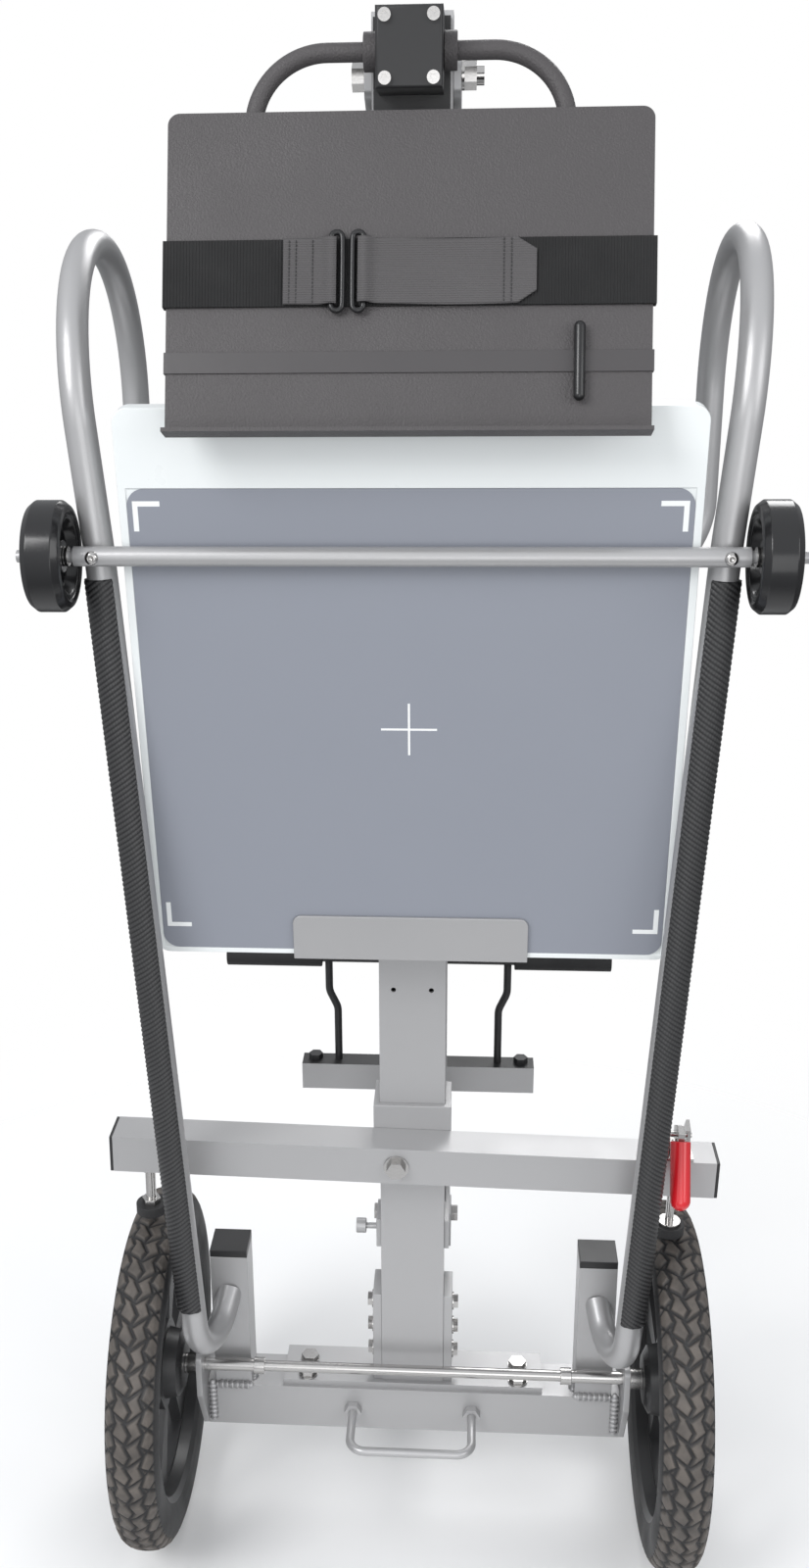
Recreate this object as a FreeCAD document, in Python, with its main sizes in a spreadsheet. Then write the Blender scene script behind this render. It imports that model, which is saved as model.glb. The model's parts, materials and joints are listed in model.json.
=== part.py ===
import FreeCAD, Part
import math
import os
import re
import Sketcher
from FreeCAD import Placement, Rotation, Vector

# A hand-truck x-ray stand, seen from its operator's side. Millimetres, +Z up.
# The operator stands at -Y, +X is at the operator's right, and the floor is at zero height.
os.makedirs("parts", exist_ok=True)
doc = FreeCAD.newDocument("XrayStand")

# Driving sizes: alias, millimetres or degrees, what it is.
SIZES = [
    ("wheel_across", 356, "big tyre, across"),
    ("tyre_wide", 50, "big tyre, width"),
    ("tyre_depth", 44, "big tyre, tread to bead"),
    ("hub_across", 66, "big hub, across"),
    ("hub_long", 48, "big hub, length"),
    ("web_thick", 12, "wheel spokes, thickness"),
    ("rim_thick", 9, "wheel rim wall"),
    ("spokes", 6, "number of spokes"),
    ("axle_y", -34, "axle, fore and aft place"),
    ("axle_across", 12.7, "axle ends, across"),
    ("axle_mid", 11, "axle middle, across"),
    ("axle_mid_half", 152, "axle middle, half length"),
    ("axle_collar", 17, "axle collar, across"),
    ("collar_long", 11, "axle collar, length"),
    ("bush_across", 21, "axle bush, across"),
    ("bush_long", 13.7, "axle bush, length"),
    ("run_gap", 0.05, "running clearance of a shaft"),
    ("soft_gap", 0.3, "clearance between moving or soft faces"),
    ("nut_thick", 9, "axle nut, thickness"),
    ("nut_across", 19, "axle nut, across flats"),
    ("beam_square", 50, "base beam, section"),
    ("beam_wall", 3, "base beam, wall"),
    ("beam_low", 94, "base beam, underside"),
    ("beam_front", -24, "base beam, front face"),
    ("beam_half", 215, "base beam, half length"),
    ("plate_thick", 6, "steel plates, thickness"),
    ("cheek_front", -54, "axle plate, front edge"),
    ("cheek_top", 200, "axle plate, top edge"),
    ("post_square", 38, "post, section"),
    ("post_wall", 2.5, "post, wall"),
    ("post_x", 187, "post, middle"),
    ("post_top", 302, "post, top"),
    ("cap_thick", 8, "post cap, thickness"),
    ("deck_half", 135, "deck plate, half width"),
    ("deck_back", 34.5, "deck plate, back edge"),
    ("deck_front", -20, "deck plate, front edge"),
    ("bolt_across", 10, "machine bolts, shank"),
    ("head_flats", 16, "machine bolts, head across flats"),
    ("head_thick", 6, "machine bolts, head thickness"),
    ("deck_bolt_x", 110, "deck bolts, place across"),
    ("mast_wide", 63.5, "mast, width"),
    ("mast_deep", 38.1, "mast, depth"),
    ("mast_wall", 3.2, "mast, wall"),
    ("mast_front", -15, "mast, front face"),
    ("mast_top", 1434, "mast, top"),
    ("foot_wall", 9, "mast foot, side wall"),
    ("foot_top", 255, "mast foot, top"),
    ("sleeve_wall", 6, "pivot sleeve, wall"),
    ("sleeve_low", 402, "pivot sleeve, underside"),
    ("sleeve_top", 481, "pivot sleeve, top"),
    ("bar_square", 38, "brake bar, section"),
    ("bar_wall", 2.5, "brake bar, wall"),
    ("bar_half", 289, "brake bar, half length"),
    ("bar_z", 437, "brake bar, middle height"),
    ("bar_tilt", 1.2, "brake bar, tilt at rest, degrees"),
    ("pivot_x", -14, "brake bar pivot, place across"),
    ("stud_x", -257, "brake stud, place across"),
    ("stud_across", 10, "brake stud, across"),
    ("foot_across", 30, "brake foot and pad, across"),
    ("pad_thick", 10, "brake foot and pad, thickness"),
    ("foot_lift", 6, "brake foot above its tyre, bar level"),
    ("pad_lift", 10, "brake pad above its tyre, bar level"),
    ("toggle_x", 252, "toggle clamp, place across"),
    ("plunger_across", 8, "toggle plunger, across"),
    ("grip_across", 19, "toggle grip, across"),
    ("rail_across", 25.4, "rail tube, across"),
    ("rail_wall", 2, "rail tube, wall"),
    ("rail_y", -100, "rails, fore and aft place"),
    ("rail_low_x", 210, "rail at its bend, place across"),
    ("rail_low_z", 282, "rail, start of its bend"),
    ("rail_bend", 42, "rail, radius of its lower bend"),
    ("rail_rise", 38, "rail, rise into the post, degrees"),
    ("tube_rail_x", 252, "rail at the cross tube, place across"),
    ("loop_x", 272, "handle loop, place across"),
    ("loop_top", 1271, "handle loop, top centre line"),
    ("loop_deep", 275, "handle loop, near leg to far leg"),
    ("stay_corner_z", 990, "far leg, height of its bend"),
    ("stay_z", 905, "far leg, where it meets the mast"),
    ("stay_bend", 60, "far leg, radius of its bend"),
    ("skid_thick", 2.6, "skid sleeve, wall"),
    ("skid_low", 300, "skid sleeve, lower end"),
    ("skid_high", 1016, "skid sleeve, upper end"),
    ("cross_across", 16, "cross tube, across"),
    ("cross_z", 1036, "cross tube, height"),
    ("cross_half", 268, "cross tube, half length"),
    ("small_across", 89, "small wheel, across"),
    ("small_wide", 32, "small wheel, width"),
    ("small_x", 286, "small wheel, middle"),
    ("small_hub_half", 10, "small wheel, half length of hub"),
    ("small_axle", 10, "small wheel axle, across"),
    ("panel_side", 460, "detector, width"),
    ("panel_tall", 490, "detector, height"),
    ("panel_thick", 16, "detector, thickness"),
    ("panel_y", -70, "detector, bottom front edge"),
    ("panel_z", 665, "detector, bottom edge height"),
    ("panel_round", 12, "detector, corner radius"),
    ("face_side", 447, "detector face, width"),
    ("face_tall", 422, "detector face, height"),
    ("face_low", 5, "detector face, lower edge above the detector's"),
    ("face_thick", 1.2, "detector face, thickness"),
    ("trough_half", 105, "detector bracket, half width"),
    ("trough_lip", 41, "detector bracket, lip height"),
    ("trough_back", 62, "detector bracket, back height"),
    ("sheet_thick", 3, "bent sheet parts, thickness"),
    ("arm_half", 25, "bracket arm, half width"),
    ("tray_half", 182, "tray, half width"),
    ("tray_tall", 243, "tray, height"),
    ("tray_lip", 17, "tray, lip depth"),
    ("tray_y", -159, "tray, bottom front edge"),
    ("tray_z", 1134, "tray, bottom edge height"),
    ("tray_lean", 19.6, "tray, lean away from the operator, degrees"),
    ("tray_round", 9, "tray, corner radius"),
    ("strap_wide", 50, "strap, width"),
    ("strap_thick", 2.2, "strap, thickness"),
    ("strap_up", 121.5, "strap, middle above the tray's edge"),
    ("band_wide", 16, "thin band, width"),
    ("band_thick", 1, "thin band, thickness"),
    ("band_up", 55, "thin band, middle above the tray's edge"),
    ("peg_x", 128, "peg, place across"),
    ("peg_long", 59, "peg, length"),
    ("peg_across", 8, "peg, across"),
    ("bow_across", 14, "tray tube, across"),
    ("bow_z", 1405, "tray tube, height at the clamp"),
    ("bow_half", 118, "tray tube legs, place across"),
    ("bow_bend", 55, "tray tube, bend radius"),
    ("bow_leg", 205, "tray tube legs, length"),
    ("clamp_half", 25, "clamp block, half width"),
    ("clamp_tall", 56, "clamp block, height"),
    ("clamp_front", -85, "clamp block, front face"),
    ("split", 0.8, "clamp block, gap between its halves"),
    ("ring_across", 28, "clamp collar, across"),
    ("ring_long", 10, "clamp collar, length"),
    ("shoulder_z", 1393, "arm shoulder, height"),
    ("stop_z", 1357, "arm stop bolt, height"),
    ("boom_front", 60, "upper arm, front face"),
    ("boom_deep", 25, "upper arm, depth"),
    ("boom_low", 262, "upper arm, lower end"),
    ("boom_wall", 2.5, "arm tubes, wall"),
    ("fork_thick", 6, "arm fork plates, thickness"),
    ("fore_wide", 50, "forearm, width"),
    ("fore_deep", 25.4, "forearm, depth"),
    ("fore_top", 830, "forearm, top"),
    ("elbow_z", 280, "arm elbow, height"),
    ("pin_across", 10, "arm pins, across"),
    ("yoke_half", 98, "head yoke, half width"),
    ("head_y", 150, "x-ray head, fore and aft place"),
    ("head_z", 800, "x-ray head, height"),
    ("head_across", 64, "x-ray head, across"),
    ("head_half", 84, "x-ray head, half length"),
    ("beam_box", 70, "collimator, width"),
    ("beam_box_tall", 45, "collimator, height"),
    ("bracket_half", 125, "grip bracket, half width"),
    ("bracket_z", 405, "grip bracket, underside"),
    ("bracket_tall", 30, "grip bracket, height"),
    ("grip_bar_z", 558, "grip bar, height"),
    ("grip_bar_half", 200, "grip bar, half length"),
    ("grip_bar_across", 14, "grip bar, across"),
    ("grip_roll", 24, "grips, across"),
    ("grip_roll_long", 98, "grips, length"),
    ("grip_rod", 8, "grip rods, across"),
    ("grip_rod_x", 95, "grip rods, place across"),
    ("latch_z", 326, "arm latch, height"),
    ("pull_rod", 8.8, "pull handle, rod across"),
    ("pull_half", 62, "pull handle, half width"),
    ("pull_out", 62, "pull handle, reach"),
    ("pull_z", 119, "pull handle, height"),
    ("leg_end", 172, "front leg, end"),
    ("caster_y", 147, "caster swivel, place"),
    ("caster_trail", 27.5, "caster, trail"),
    ("caster_across", 75, "caster wheel, across"),
    ("caster_wide", 30, "caster wheel, width"),
]

# Places worked out from the driving sizes: alias, formula.
PLACES = [
    ("axle_z", "wheel_across / 2"),
    ("beam_top", "beam_low + beam_square"),
    ("beam_back", "beam_front + beam_square"),
    ("beam_mid_y", "beam_front + beam_square / 2"),
    ("cheek_out", "beam_half + plate_thick"),
    ("bush_out", "cheek_out + bush_long"),
    ("wheel_x", "bush_out + soft_gap + hub_long / 2"),
    ("hub_out", "wheel_x + hub_long / 2 + soft_gap"),
    ("axle_end", "hub_out + nut_thick + 3"),
    ("post_mid_y", "beam_front + post_square / 2"),
    ("deck_top", "beam_top + plate_thick"),
    ("mast_half", "mast_wide / 2"),
    ("mast_back", "mast_front + mast_deep"),
    ("mast_mid_y", "mast_front + mast_deep / 2"),
    ("sleeve_front", "mast_front - sleeve_wall"),
    ("bar_back", "sleeve_front - soft_gap"),
    ("bar_front", "bar_back - bar_square"),
    ("bar_mid_y", "bar_back - bar_square / 2"),
    ("bar_low", "bar_z - bar_square / 2"),
    ("bar_top", "bar_z + bar_square / 2"),
    ("cross_y", "rail_y - rail_across / 2 - cross_across / 2"),
    ("far_y", "rail_y + loop_deep"),
    ("small_out", "small_x + small_hub_half + soft_gap"),
    ("small_in", "small_x - small_hub_half - soft_gap"),
    ("bow_y", "tray_y + (bow_z - tray_z) * tan(tray_lean * 1 deg)"
              " + (sheet_thick + bow_across / 2 + 0.1) / cos(tray_lean * 1 deg)"),
    ("arm_side", "mast_half + soft_gap"),
    ("arm_out", "arm_side + fork_thick"),
    ("boom_back", "boom_front + boom_deep"),
    ("fore_front", "boom_back + soft_gap"),
    ("fore_back", "fore_front + fore_deep"),
    ("elbow_y", "fore_front + fore_deep / 2"),
    ("bracket_y", "fore_back + 30"),
    ("leg_low", "beam_low"),
    ("caster_r", "caster_across / 2"),
]


def fill_sheet(name, rows, formula):
    """Writes one row per alias: the alias, its value and its note."""
    sheet = doc.addObject("Spreadsheet::Sheet", name)
    for number, row in enumerate(rows, 1):
        sheet.set(f"A{number}", row[0])
        sheet.set(f"B{number}", formula(row[1]))
        sheet.setAlias(f"B{number}", row[0])
        sheet.set(f"C{number}", row[-1])
    doc.recompute()
    return sheet


WHERE = {row[0]: "Sizes" for row in SIZES} | {row[0]: "Places" for row in PLACES}


def bound(text):
    """The same formula with every alias written as its sheet's cell."""
    return re.sub(r"[a-z][a-z_]*", lambda word: (
        f"{WHERE[word[0]]}.{word[0]}" if word[0] in WHERE else word[0]), str(text))


sizes = fill_sheet("Sizes", SIZES, str)
places = fill_sheet("Places", PLACES, lambda text: "=" + re.sub(
    r"[a-z][a-z_]*", lambda word: f"Sizes.{word[0]}" if WHERE.get(word[0]) == "Sizes" else word[0], text))


def size(alias):
    """The number in a cell."""
    value = (sizes if WHERE[alias] == "Sizes" else places).get(alias)
    return float(getattr(value, "Value", value))


NODES = []
TURNS = {"X": Rotation(Vector(0, 1, 0), 90), "Y": Rotation(Vector(1, 0, 0), -90), "Z": Rotation()}


def keep(thing, label):
    """Marks an object of the document as a sub-part under its own label."""
    thing.Label = label
    NODES.append(thing)
    return thing


def at(thing, x, y, z):
    """Binds the place of an object."""
    for axis, text in zip("xyz", (x, y, z)):
        thing.setExpression(f"Placement.Base.{axis}", bound(text))
    return thing


def block(x, y, z):
    """A box between two formulas along each axis."""
    thing = doc.addObject("Part::Box", "Block")
    for side, (low, high) in zip(("Length", "Width", "Height"), (x, y, z)):
        thing.setExpression(side, bound(f"({high}) - ({low})"))
    return at(thing, x[0], y[0], z[0])


def rod(across, axis, span, x="0", y="0", z="0"):
    """A round bar along one axis, from the first to the last value of span."""
    thing = doc.addObject("Part::Cylinder", "Rod")
    thing.Placement = Placement(Vector(), TURNS[axis])
    thing.setExpression("Radius", bound(f"({across}) / 2"))
    thing.setExpression("Height", bound(f"({span[1]}) - ({span[0]})"))
    spot = {"X": (span[0], y, z), "Y": (x, span[0], z), "Z": (x, y, span[0])}[axis]
    return at(thing, *spot)


def hexagon(flats, axis, span, x="0", y="0", z="0"):
    """A hexagon head or nut along one axis."""
    thing = doc.addObject("Part::Prism", "Hexagon")
    thing.Polygon = 6
    thing.Placement = Placement(Vector(), TURNS[axis])
    thing.setExpression("Circumradius", bound(f"({flats}) / 2 / cos(30 deg)"))
    thing.setExpression("Height", bound(f"({span[1]}) - ({span[0]})"))
    spot = {"X": (span[0], y, z), "Y": (x, span[0], z), "Z": (x, y, span[0])}[axis]
    return at(thing, *spot)


def joined(*things):
    """One solid from pieces that meet."""
    thing = doc.addObject("Part::MultiFuse", "Joined")
    thing.Shapes = list(things)
    thing.Refine = True
    return thing


def carved(base, *tools):
    """The base without the space of the tools."""
    thing = doc.addObject("Part::Cut", "Carved")
    thing.Base = base
    thing.Tool = tools[0] if len(tools) == 1 else joined(*tools)
    return thing


def group(*things):
    """Separate solids that share one sub-part."""
    thing = doc.addObject("Part::Compound", "Group")
    thing.Links = list(things)
    return thing


def outline(body, plane, points, offset="0"):
    """A closed sketch of straight lines; each corner's two coordinates are bound to the sheet."""
    sketch = body.newObject("Sketcher::SketchObject", "Outline")
    face = next(item for item in body.Origin.OriginFeatures if item.Role == plane + "_Plane")
    sketch.AttachmentSupport = [(face, "")]
    sketch.MapMode = "FlatFace"
    sketch.setExpression("AttachmentOffset.Base.z", bound(offset))
    count = len(points)
    spots = [Vector(3.0 * k, 2.0 * k * k, 0) for k in range(count)]
    for k in range(count):
        sketch.addGeometry(Part.LineSegment(spots[k], spots[(k + 1) % count]), False)
    for k in range(count):
        sketch.addConstraint(Sketcher.Constraint("Coincident", k, 2, (k + 1) % count, 1))
    for k, (across, up) in enumerate(points):
        for kind, text in (("DistanceX", across), ("DistanceY", up)):
            number = sketch.addConstraint(Sketcher.Constraint(kind, -1, 1, k, 1, 1.0 + k))
            sketch.setExpression(f"Constraints[{number}]", bound(text))
    return sketch


def padded(plane, points, low, high):
    """A body whose outline is carried along the plane's normal from low to high."""
    body = doc.addObject("PartDesign::Body", "Body")
    turned = plane == "XZ"
    sketch = outline(body, plane, points, f"-({low})" if turned else low)
    pad = body.newObject("PartDesign::Pad", "Pad")
    pad.Profile = sketch
    pad.Reversed = turned
    pad.setExpression("Length", bound(f"({high}) - ({low})"))
    doc.recompute()
    return body


def revolved(points):
    """A body turned about its own X axis; points are (along the axis, radius)."""
    body = doc.addObject("PartDesign::Body", "Body")
    sketch = outline(body, "XY", points)
    turn = body.newObject("PartDesign::Revolution", "Turn")
    turn.Profile = sketch
    turn.ReferenceAxis = (sketch, ["H_Axis"])
    turn.Angle = 360
    doc.recompute()
    return body


def rounded(body, radius, test):
    """Fillets the edges of a body's last feature that pass the test."""
    base = body.Tip
    names = [f"Edge{k}" for k, edge in enumerate(base.Shape.Edges, 1) if test(edge)]
    fillet = body.newObject("PartDesign::Fillet", "Round")
    fillet.Base = (base, names)
    fillet.setExpression("Radius", bound(radius))
    doc.recompute()
    return body


def runs_along(direction):
    """A test for straight edges along a direction."""
    def test(edge):
        ends = edge.Vertexes
        if len(ends) < 2 or edge.Curve.TypeId != "Part::GeomLine":
            return False
        way = ends[1].Point - ends[0].Point
        return way.Length > 1e-6 and abs(way.normalize().dot(direction)) > 0.999
    return test


def bent_path(points, radii):
    """Straight runs joined by tangent arcs; radii holds one radius per inner corner."""
    edges = []
    start = points[0]
    for k in range(1, len(points) - 1):
        before = (points[k] - points[k - 1]).normalize()
        after = (points[k + 1] - points[k]).normalize()
        turn = before.getAngle(after)
        reach = radii[k - 1] * math.tan(turn / 2)
        first = points[k] - before * reach
        last = points[k] + after * reach
        inward = (after - before).normalize()
        middle = points[k] + inward * radii[k - 1] * (1 / math.cos(turn / 2) - 1)
        edges.append(Part.LineSegment(start, first).toShape())
        edges.append(Part.Arc(first, middle, last).toShape())
        start = last
    edges.append(Part.LineSegment(start, points[-1]).toShape())
    return Part.Wire(edges)


def bent_bar(points, radii, across):
    """A round bar along a bent path."""
    path = bent_path(points, radii)
    way = (points[1] - points[0]).normalize()
    ring = Part.Wire(Part.makeCircle(across / 2, points[0], way))
    return path.makePipeShell([ring], True, False)


def solid(shape):
    """An object of the document that holds a worked-out shape."""
    thing = doc.addObject("Part::Feature", "Solid")
    thing.Shape = shape
    return thing


def solid_block(x, y, z):
    """A plain box shape between two numbers along each axis."""
    return Part.makeBox(x[1] - x[0], y[1] - y[0], z[1] - z[0], Vector(x[0], y[0], z[0]))


SIDES = (("left", -1), ("right", 1))


def span(side, low, high):
    """A span on one side of the mast, low to high in row order."""
    return (low, high) if side > 0 else (f"-({high})", f"-({low})")


# Base beam: square tube across the stand, with a cheek plate at each end that holds the axle.
keep(carved(block(("-beam_half", "beam_half"), ("beam_front", "beam_back"), ("beam_low", "beam_top")),
            block(("-beam_half", "beam_half"), ("beam_front + beam_wall", "beam_back - beam_wall"),
                  ("beam_low + beam_wall", "beam_top - beam_wall")),
            *[rod("pull_rod", "Y", ("beam_front - 1", "beam_front + beam_wall + 1"), f"{s} * pull_half",
                  z="pull_z") for _, s in SIDES]), "base_beam")
cheeks = []
for _, s in SIDES:
    cheek = padded("YZ", [("cheek_front", "axle_z - 26"), ("beam_front", "beam_low"),
                          ("beam_back", "beam_low"), ("beam_back", "beam_top"),
                          ("beam_front + 8", "cheek_top"), ("cheek_front", "cheek_top")],
                   *span(s, "beam_half", "cheek_out"))
    rounded(cheek, "7", lambda edge: runs_along(Vector(1, 0, 0))(edge)
            and edge.BoundBox.ZMin > size("beam_top") + 1)
    cheeks.append(carved(cheek, rod("axle_across", "X", span(s, "beam_half - 1", "cheek_out + 1"), y="axle_y",
                                    z="axle_z")))
keep(group(*cheeks), "axle_cheeks")

# Axle: round bar with a slimmer middle, shaft collars, spacer bushes and nuts.
keep(joined(rod("axle_mid", "X", ("-axle_mid_half - collar_long", "axle_mid_half + collar_long"),
                y="axle_y", z="axle_z"),
            *[rod("axle_across", "X", span(s, "axle_mid_half + collar_long", "axle_end"), y="axle_y",
                  z="axle_z") for _, s in SIDES]), "axle")
collars = [carved(rod("axle_collar", "X", span(s, "axle_mid_half", "axle_mid_half + collar_long"),
                        y="axle_y", z="axle_z"),
                    rod("axle_mid", "X", span(s, "axle_mid_half - 1", "axle_mid_half + collar_long + 1"),
                        y="axle_y", z="axle_z")) for _, s in SIDES]
bushes = [carved(rod("bush_across", "X", span(s, "cheek_out", "bush_out"), y="axle_y", z="axle_z"),
                    rod("axle_across", "X", span(s, "cheek_out - 1", "bush_out + 1"), y="axle_y",
                        z="axle_z")) for _, s in SIDES]
nuts = [carved(joined(hexagon("nut_across", "X", span(s, "hub_out + 1.5", "hub_out + nut_thick"),
                                   y="axle_y", z="axle_z"),
                           rod("nut_across + 7", "X", span(s, "hub_out", "hub_out + 1.5"), y="axle_y",
                               z="axle_z")),
                    rod("axle_across", "X", span(s, "hub_out - 1", "hub_out + nut_thick + 1"), y="axle_y",
                        z="axle_z")) for _, s in SIDES]
keep(group(*collars, *bushes, *nuts), "axle_hardware")

# Big wheels: moulded rim with hub and spokes, and a tyre with a crowned tread.
for name, s in SIDES:
    rim = revolved([("-hub_long / 2", "axle_across / 2 + run_gap"), ("hub_long / 2", "axle_across / 2 + run_gap"),
                    ("hub_long / 2", "hub_across / 2 - 9"), ("hub_long / 2 - 5", "hub_across / 2"),
                    ("web_thick / 2", "hub_across / 2 + 3"),
                    ("web_thick / 2", "wheel_across / 2 - tyre_depth - rim_thick"),
                    ("tyre_wide / 2 - 7", "wheel_across / 2 - tyre_depth - rim_thick + 3"),
                    ("tyre_wide / 2 - 3", "wheel_across / 2 - tyre_depth"),
                    ("3 - tyre_wide / 2", "wheel_across / 2 - tyre_depth"),
                    ("7 - tyre_wide / 2", "wheel_across / 2 - tyre_depth - rim_thick + 3"),
                    ("-web_thick / 2", "wheel_across / 2 - tyre_depth - rim_thick"),
                    ("-web_thick / 2", "hub_across / 2 + 3"), ("5 - hub_long / 2", "hub_across / 2"),
                    ("-hub_long / 2", "hub_across / 2 - 9")])
    window = outline(rim, "YZ", [("-16", "hub_across / 2 + 10"), ("16", "hub_across / 2 + 10"),
                                 ("44", "wheel_across / 2 - tyre_depth - rim_thick - 13"),
                                 ("0", "wheel_across / 2 - tyre_depth - rim_thick - 4"),
                                 ("-44", "wheel_across / 2 - tyre_depth - rim_thick - 13")], "-web_thick")
    pocket = rim.newObject("PartDesign::Pocket", "Window")
    pocket.Profile = window
    pocket.Reversed = True
    pocket.setExpression("Length", bound("2 * web_thick"))
    doc.recompute()
    ring = rim.newObject("PartDesign::PolarPattern", "Windows")
    ring.Originals = [pocket]
    ring.Axis = (next(item for item in rim.Origin.OriginFeatures if item.Role == "X_Axis"), [""])
    ring.Angle = 360
    ring.setExpression("Occurrences", bound("spokes"))
    rim.Tip = ring
    keep(at(rim, f"{s} * wheel_x", "axle_y", "axle_z"), f"wheel_rim_{name}")
    tyre = revolved([("3 - tyre_wide / 2", "wheel_across / 2 - tyre_depth"),
                     ("tyre_wide / 2 - 3", "wheel_across / 2 - tyre_depth"),
                     ("tyre_wide / 2", "wheel_across / 2 - 27"), ("tyre_wide / 2 - 1", "wheel_across / 2 - 16"),
                     ("tyre_wide / 2 - 6", "wheel_across / 2 - 6"), ("tyre_wide / 2 - 13", "wheel_across / 2 - 1.5"),
                     ("4", "wheel_across / 2"), ("-4", "wheel_across / 2"),
                     ("13 - tyre_wide / 2", "wheel_across / 2 - 1.5"), ("6 - tyre_wide / 2", "wheel_across / 2 - 6"),
                     ("1 - tyre_wide / 2", "wheel_across / 2 - 16"), ("-tyre_wide / 2", "wheel_across / 2 - 27")])
    keep(at(tyre, f"{s} * wheel_x", "axle_y", "axle_z"), f"tyre_{name}")

# Posts: short square tubes that stand on the beam, with plastic caps pushed into their tops.
posts, caps = [], []
for _, s in SIDES:
    x = (f"{s} * post_x - post_square / 2", f"{s} * post_x + post_square / 2")
    y = ("beam_front", "beam_front + post_square")
    inner_x = (f"{x[0]} + post_wall", f"{x[1]} - post_wall")
    inner_y = ("beam_front + post_wall", "beam_front + post_square - post_wall")
    posts.append(carved(block(x, y, ("beam_top", "post_top")),
                        block(inner_x, inner_y, ("beam_top - 1", "post_top + 1"))))
    caps.append(joined(block(x, y, ("post_top", "post_top + cap_thick")),
                       block(inner_x, inner_y, ("post_top - 18", "post_top + 1"))))
keep(group(*posts), "posts")
keep(group(*caps), "post_caps")

# Deck plate on the beam, with its hex bolts, and the brushed strip in front of the mast.
DECK_ROWS = ("beam_front + 14", "beam_back - 12")
DECK_SPOTS = [(f"{s} * deck_bolt_x", y) for _, s in SIDES for y in DECK_ROWS]
keep(carved(block(("-deck_half", "deck_half"), ("deck_front", "deck_back"), ("beam_top", "deck_top")),
            *[rod("bolt_across", "Z", ("beam_top - 1", "deck_top + 1"), x, y) for x, y in DECK_SPOTS]),
     "deck_plate")
keep(group(*[joined(rod("bolt_across", "Z", ("beam_top", "deck_top + 1"), x, y),
                    rod("head_flats + 4", "Z", ("deck_top", "deck_top + 1.5"), x, y),
                    hexagon("head_flats", "Z", ("deck_top + 1.5", "deck_top + head_thick"), x, y))
             for x, y in DECK_SPOTS]), "deck_bolts")

# Pull handle: bent rod with a nut at each leg, through the beam's front wall.
half, pull_z = size("pull_half"), size("pull_z")
inner_y, outer_y = size("beam_front") + size("beam_wall"), size("beam_front") - size("pull_out")
pull = bent_bar([Vector(-half, inner_y, pull_z), Vector(-half, outer_y, pull_z),
                 Vector(half, outer_y, pull_z), Vector(half, inner_y, pull_z)], [16, 16], size("pull_rod"))
keep(group(solid(pull), *[carved(hexagon("head_flats", "Y", ("beam_front - 8", "beam_front"), f"{s} * pull_half", z="pull_z"),
                    rod("pull_rod", "Y", ("beam_front - 9", "beam_front + 1"), f"{s} * pull_half", z="pull_z"))
             for _, s in SIDES]), "pull_handle")

# Mast: one rectangular tube from the deck to the clamp block, in a channel foot.
mast_x = ("-mast_half", "mast_half")
mast = carved(block(mast_x, ("mast_front", "mast_back"), ("deck_top", "mast_top")),
            block(("-mast_half + mast_wall", "mast_half - mast_wall"),
                  ("mast_front + mast_wall", "mast_back - mast_wall"), ("deck_top - 1", "mast_top + 1")),
            rod("bolt_across", "Y", ("mast_front - 1", "mast_front + mast_wall + 1"), "pivot_x", z="bar_z"),
            rod("pin_across", "X", ("-mast_half - 1", "mast_half + 1"), y="mast_mid_y", z="shoulder_z"),
            rod("8", "X", ("-mast_half - 1", "mast_half + 1"), y="mast_mid_y", z="stop_z"),
            *[rod("4.8", "Y", ("mast_front - 1", "mast_front + mast_wall + 1"), f"{s} * 18", z="603")
              for _, s in SIDES])
keep(joined(mast, block(mast_x, ("mast_front", "mast_back"), ("mast_top", "mast_top + 3"))), "mast")
FOOT_BOLTS = [(s, z) for _, s in SIDES for z in (-78, -48, -18)]
keep(carved(block(("-mast_half - foot_wall", "mast_half + foot_wall"), ("mast_front + 1", "mast_back + plate_thick"),
                  ("deck_top", "foot_top")),
            block(mast_x, ("mast_front", "mast_back"), ("deck_top - 1", "foot_top + 1"))), "mast_foot")
keep(group(*[joined(rod("head_flats + 2", "X", span(s, "mast_half + foot_wall", "mast_half + foot_wall + 1.5"),
                        y="mast_mid_y", z=f"foot_top + {z}"),
                    hexagon("head_flats - 3", "X", span(s, "mast_half + foot_wall + 1.5",
                                                        "mast_half + foot_wall + head_thick"),
                            y="mast_mid_y", z=f"foot_top + {z}")) for s, z in FOOT_BOLTS]), "mast_foot_bolts")

# Pivot sleeve round the mast, and the bolt that the brake bar rocks on.
keep(carved(block(("-mast_half - sleeve_wall", "mast_half + sleeve_wall"), ("sleeve_front", "mast_back + sleeve_wall"),
                  ("sleeve_low", "sleeve_top")),
            block(mast_x, ("mast_front", "mast_back"), ("sleeve_low - 1", "sleeve_top + 1")),
            rod("bolt_across", "Y", ("sleeve_front - 1", "mast_front + 1"), "pivot_x", z="bar_z")),
     "pivot_sleeve")
pivot_bolt = joined(
            rod("bolt_across", "Y", ("bar_front - 2", "mast_front + mast_wall"), "pivot_x", z="bar_z"),
            rod("24", "Y", ("bar_front - soft_gap - 2", "bar_front - soft_gap"), "pivot_x", z="bar_z"),
            hexagon("head_flats", "Y", ("bar_front - soft_gap - 9", "bar_front - soft_gap - 2"), "pivot_x",
                    z="bar_z"))

# Brake bar: square tube that rocks on its bolt and presses on both tyres alike. It is made level,
# then tilted about the bolt as it hangs at rest.
BAR_PARTS = []


def on_bar(thing, label):
    """Keeps a piece of the brake bar, tilted about the pivot bolt."""
    BAR_PARTS.append(keep(thing, label))


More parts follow.
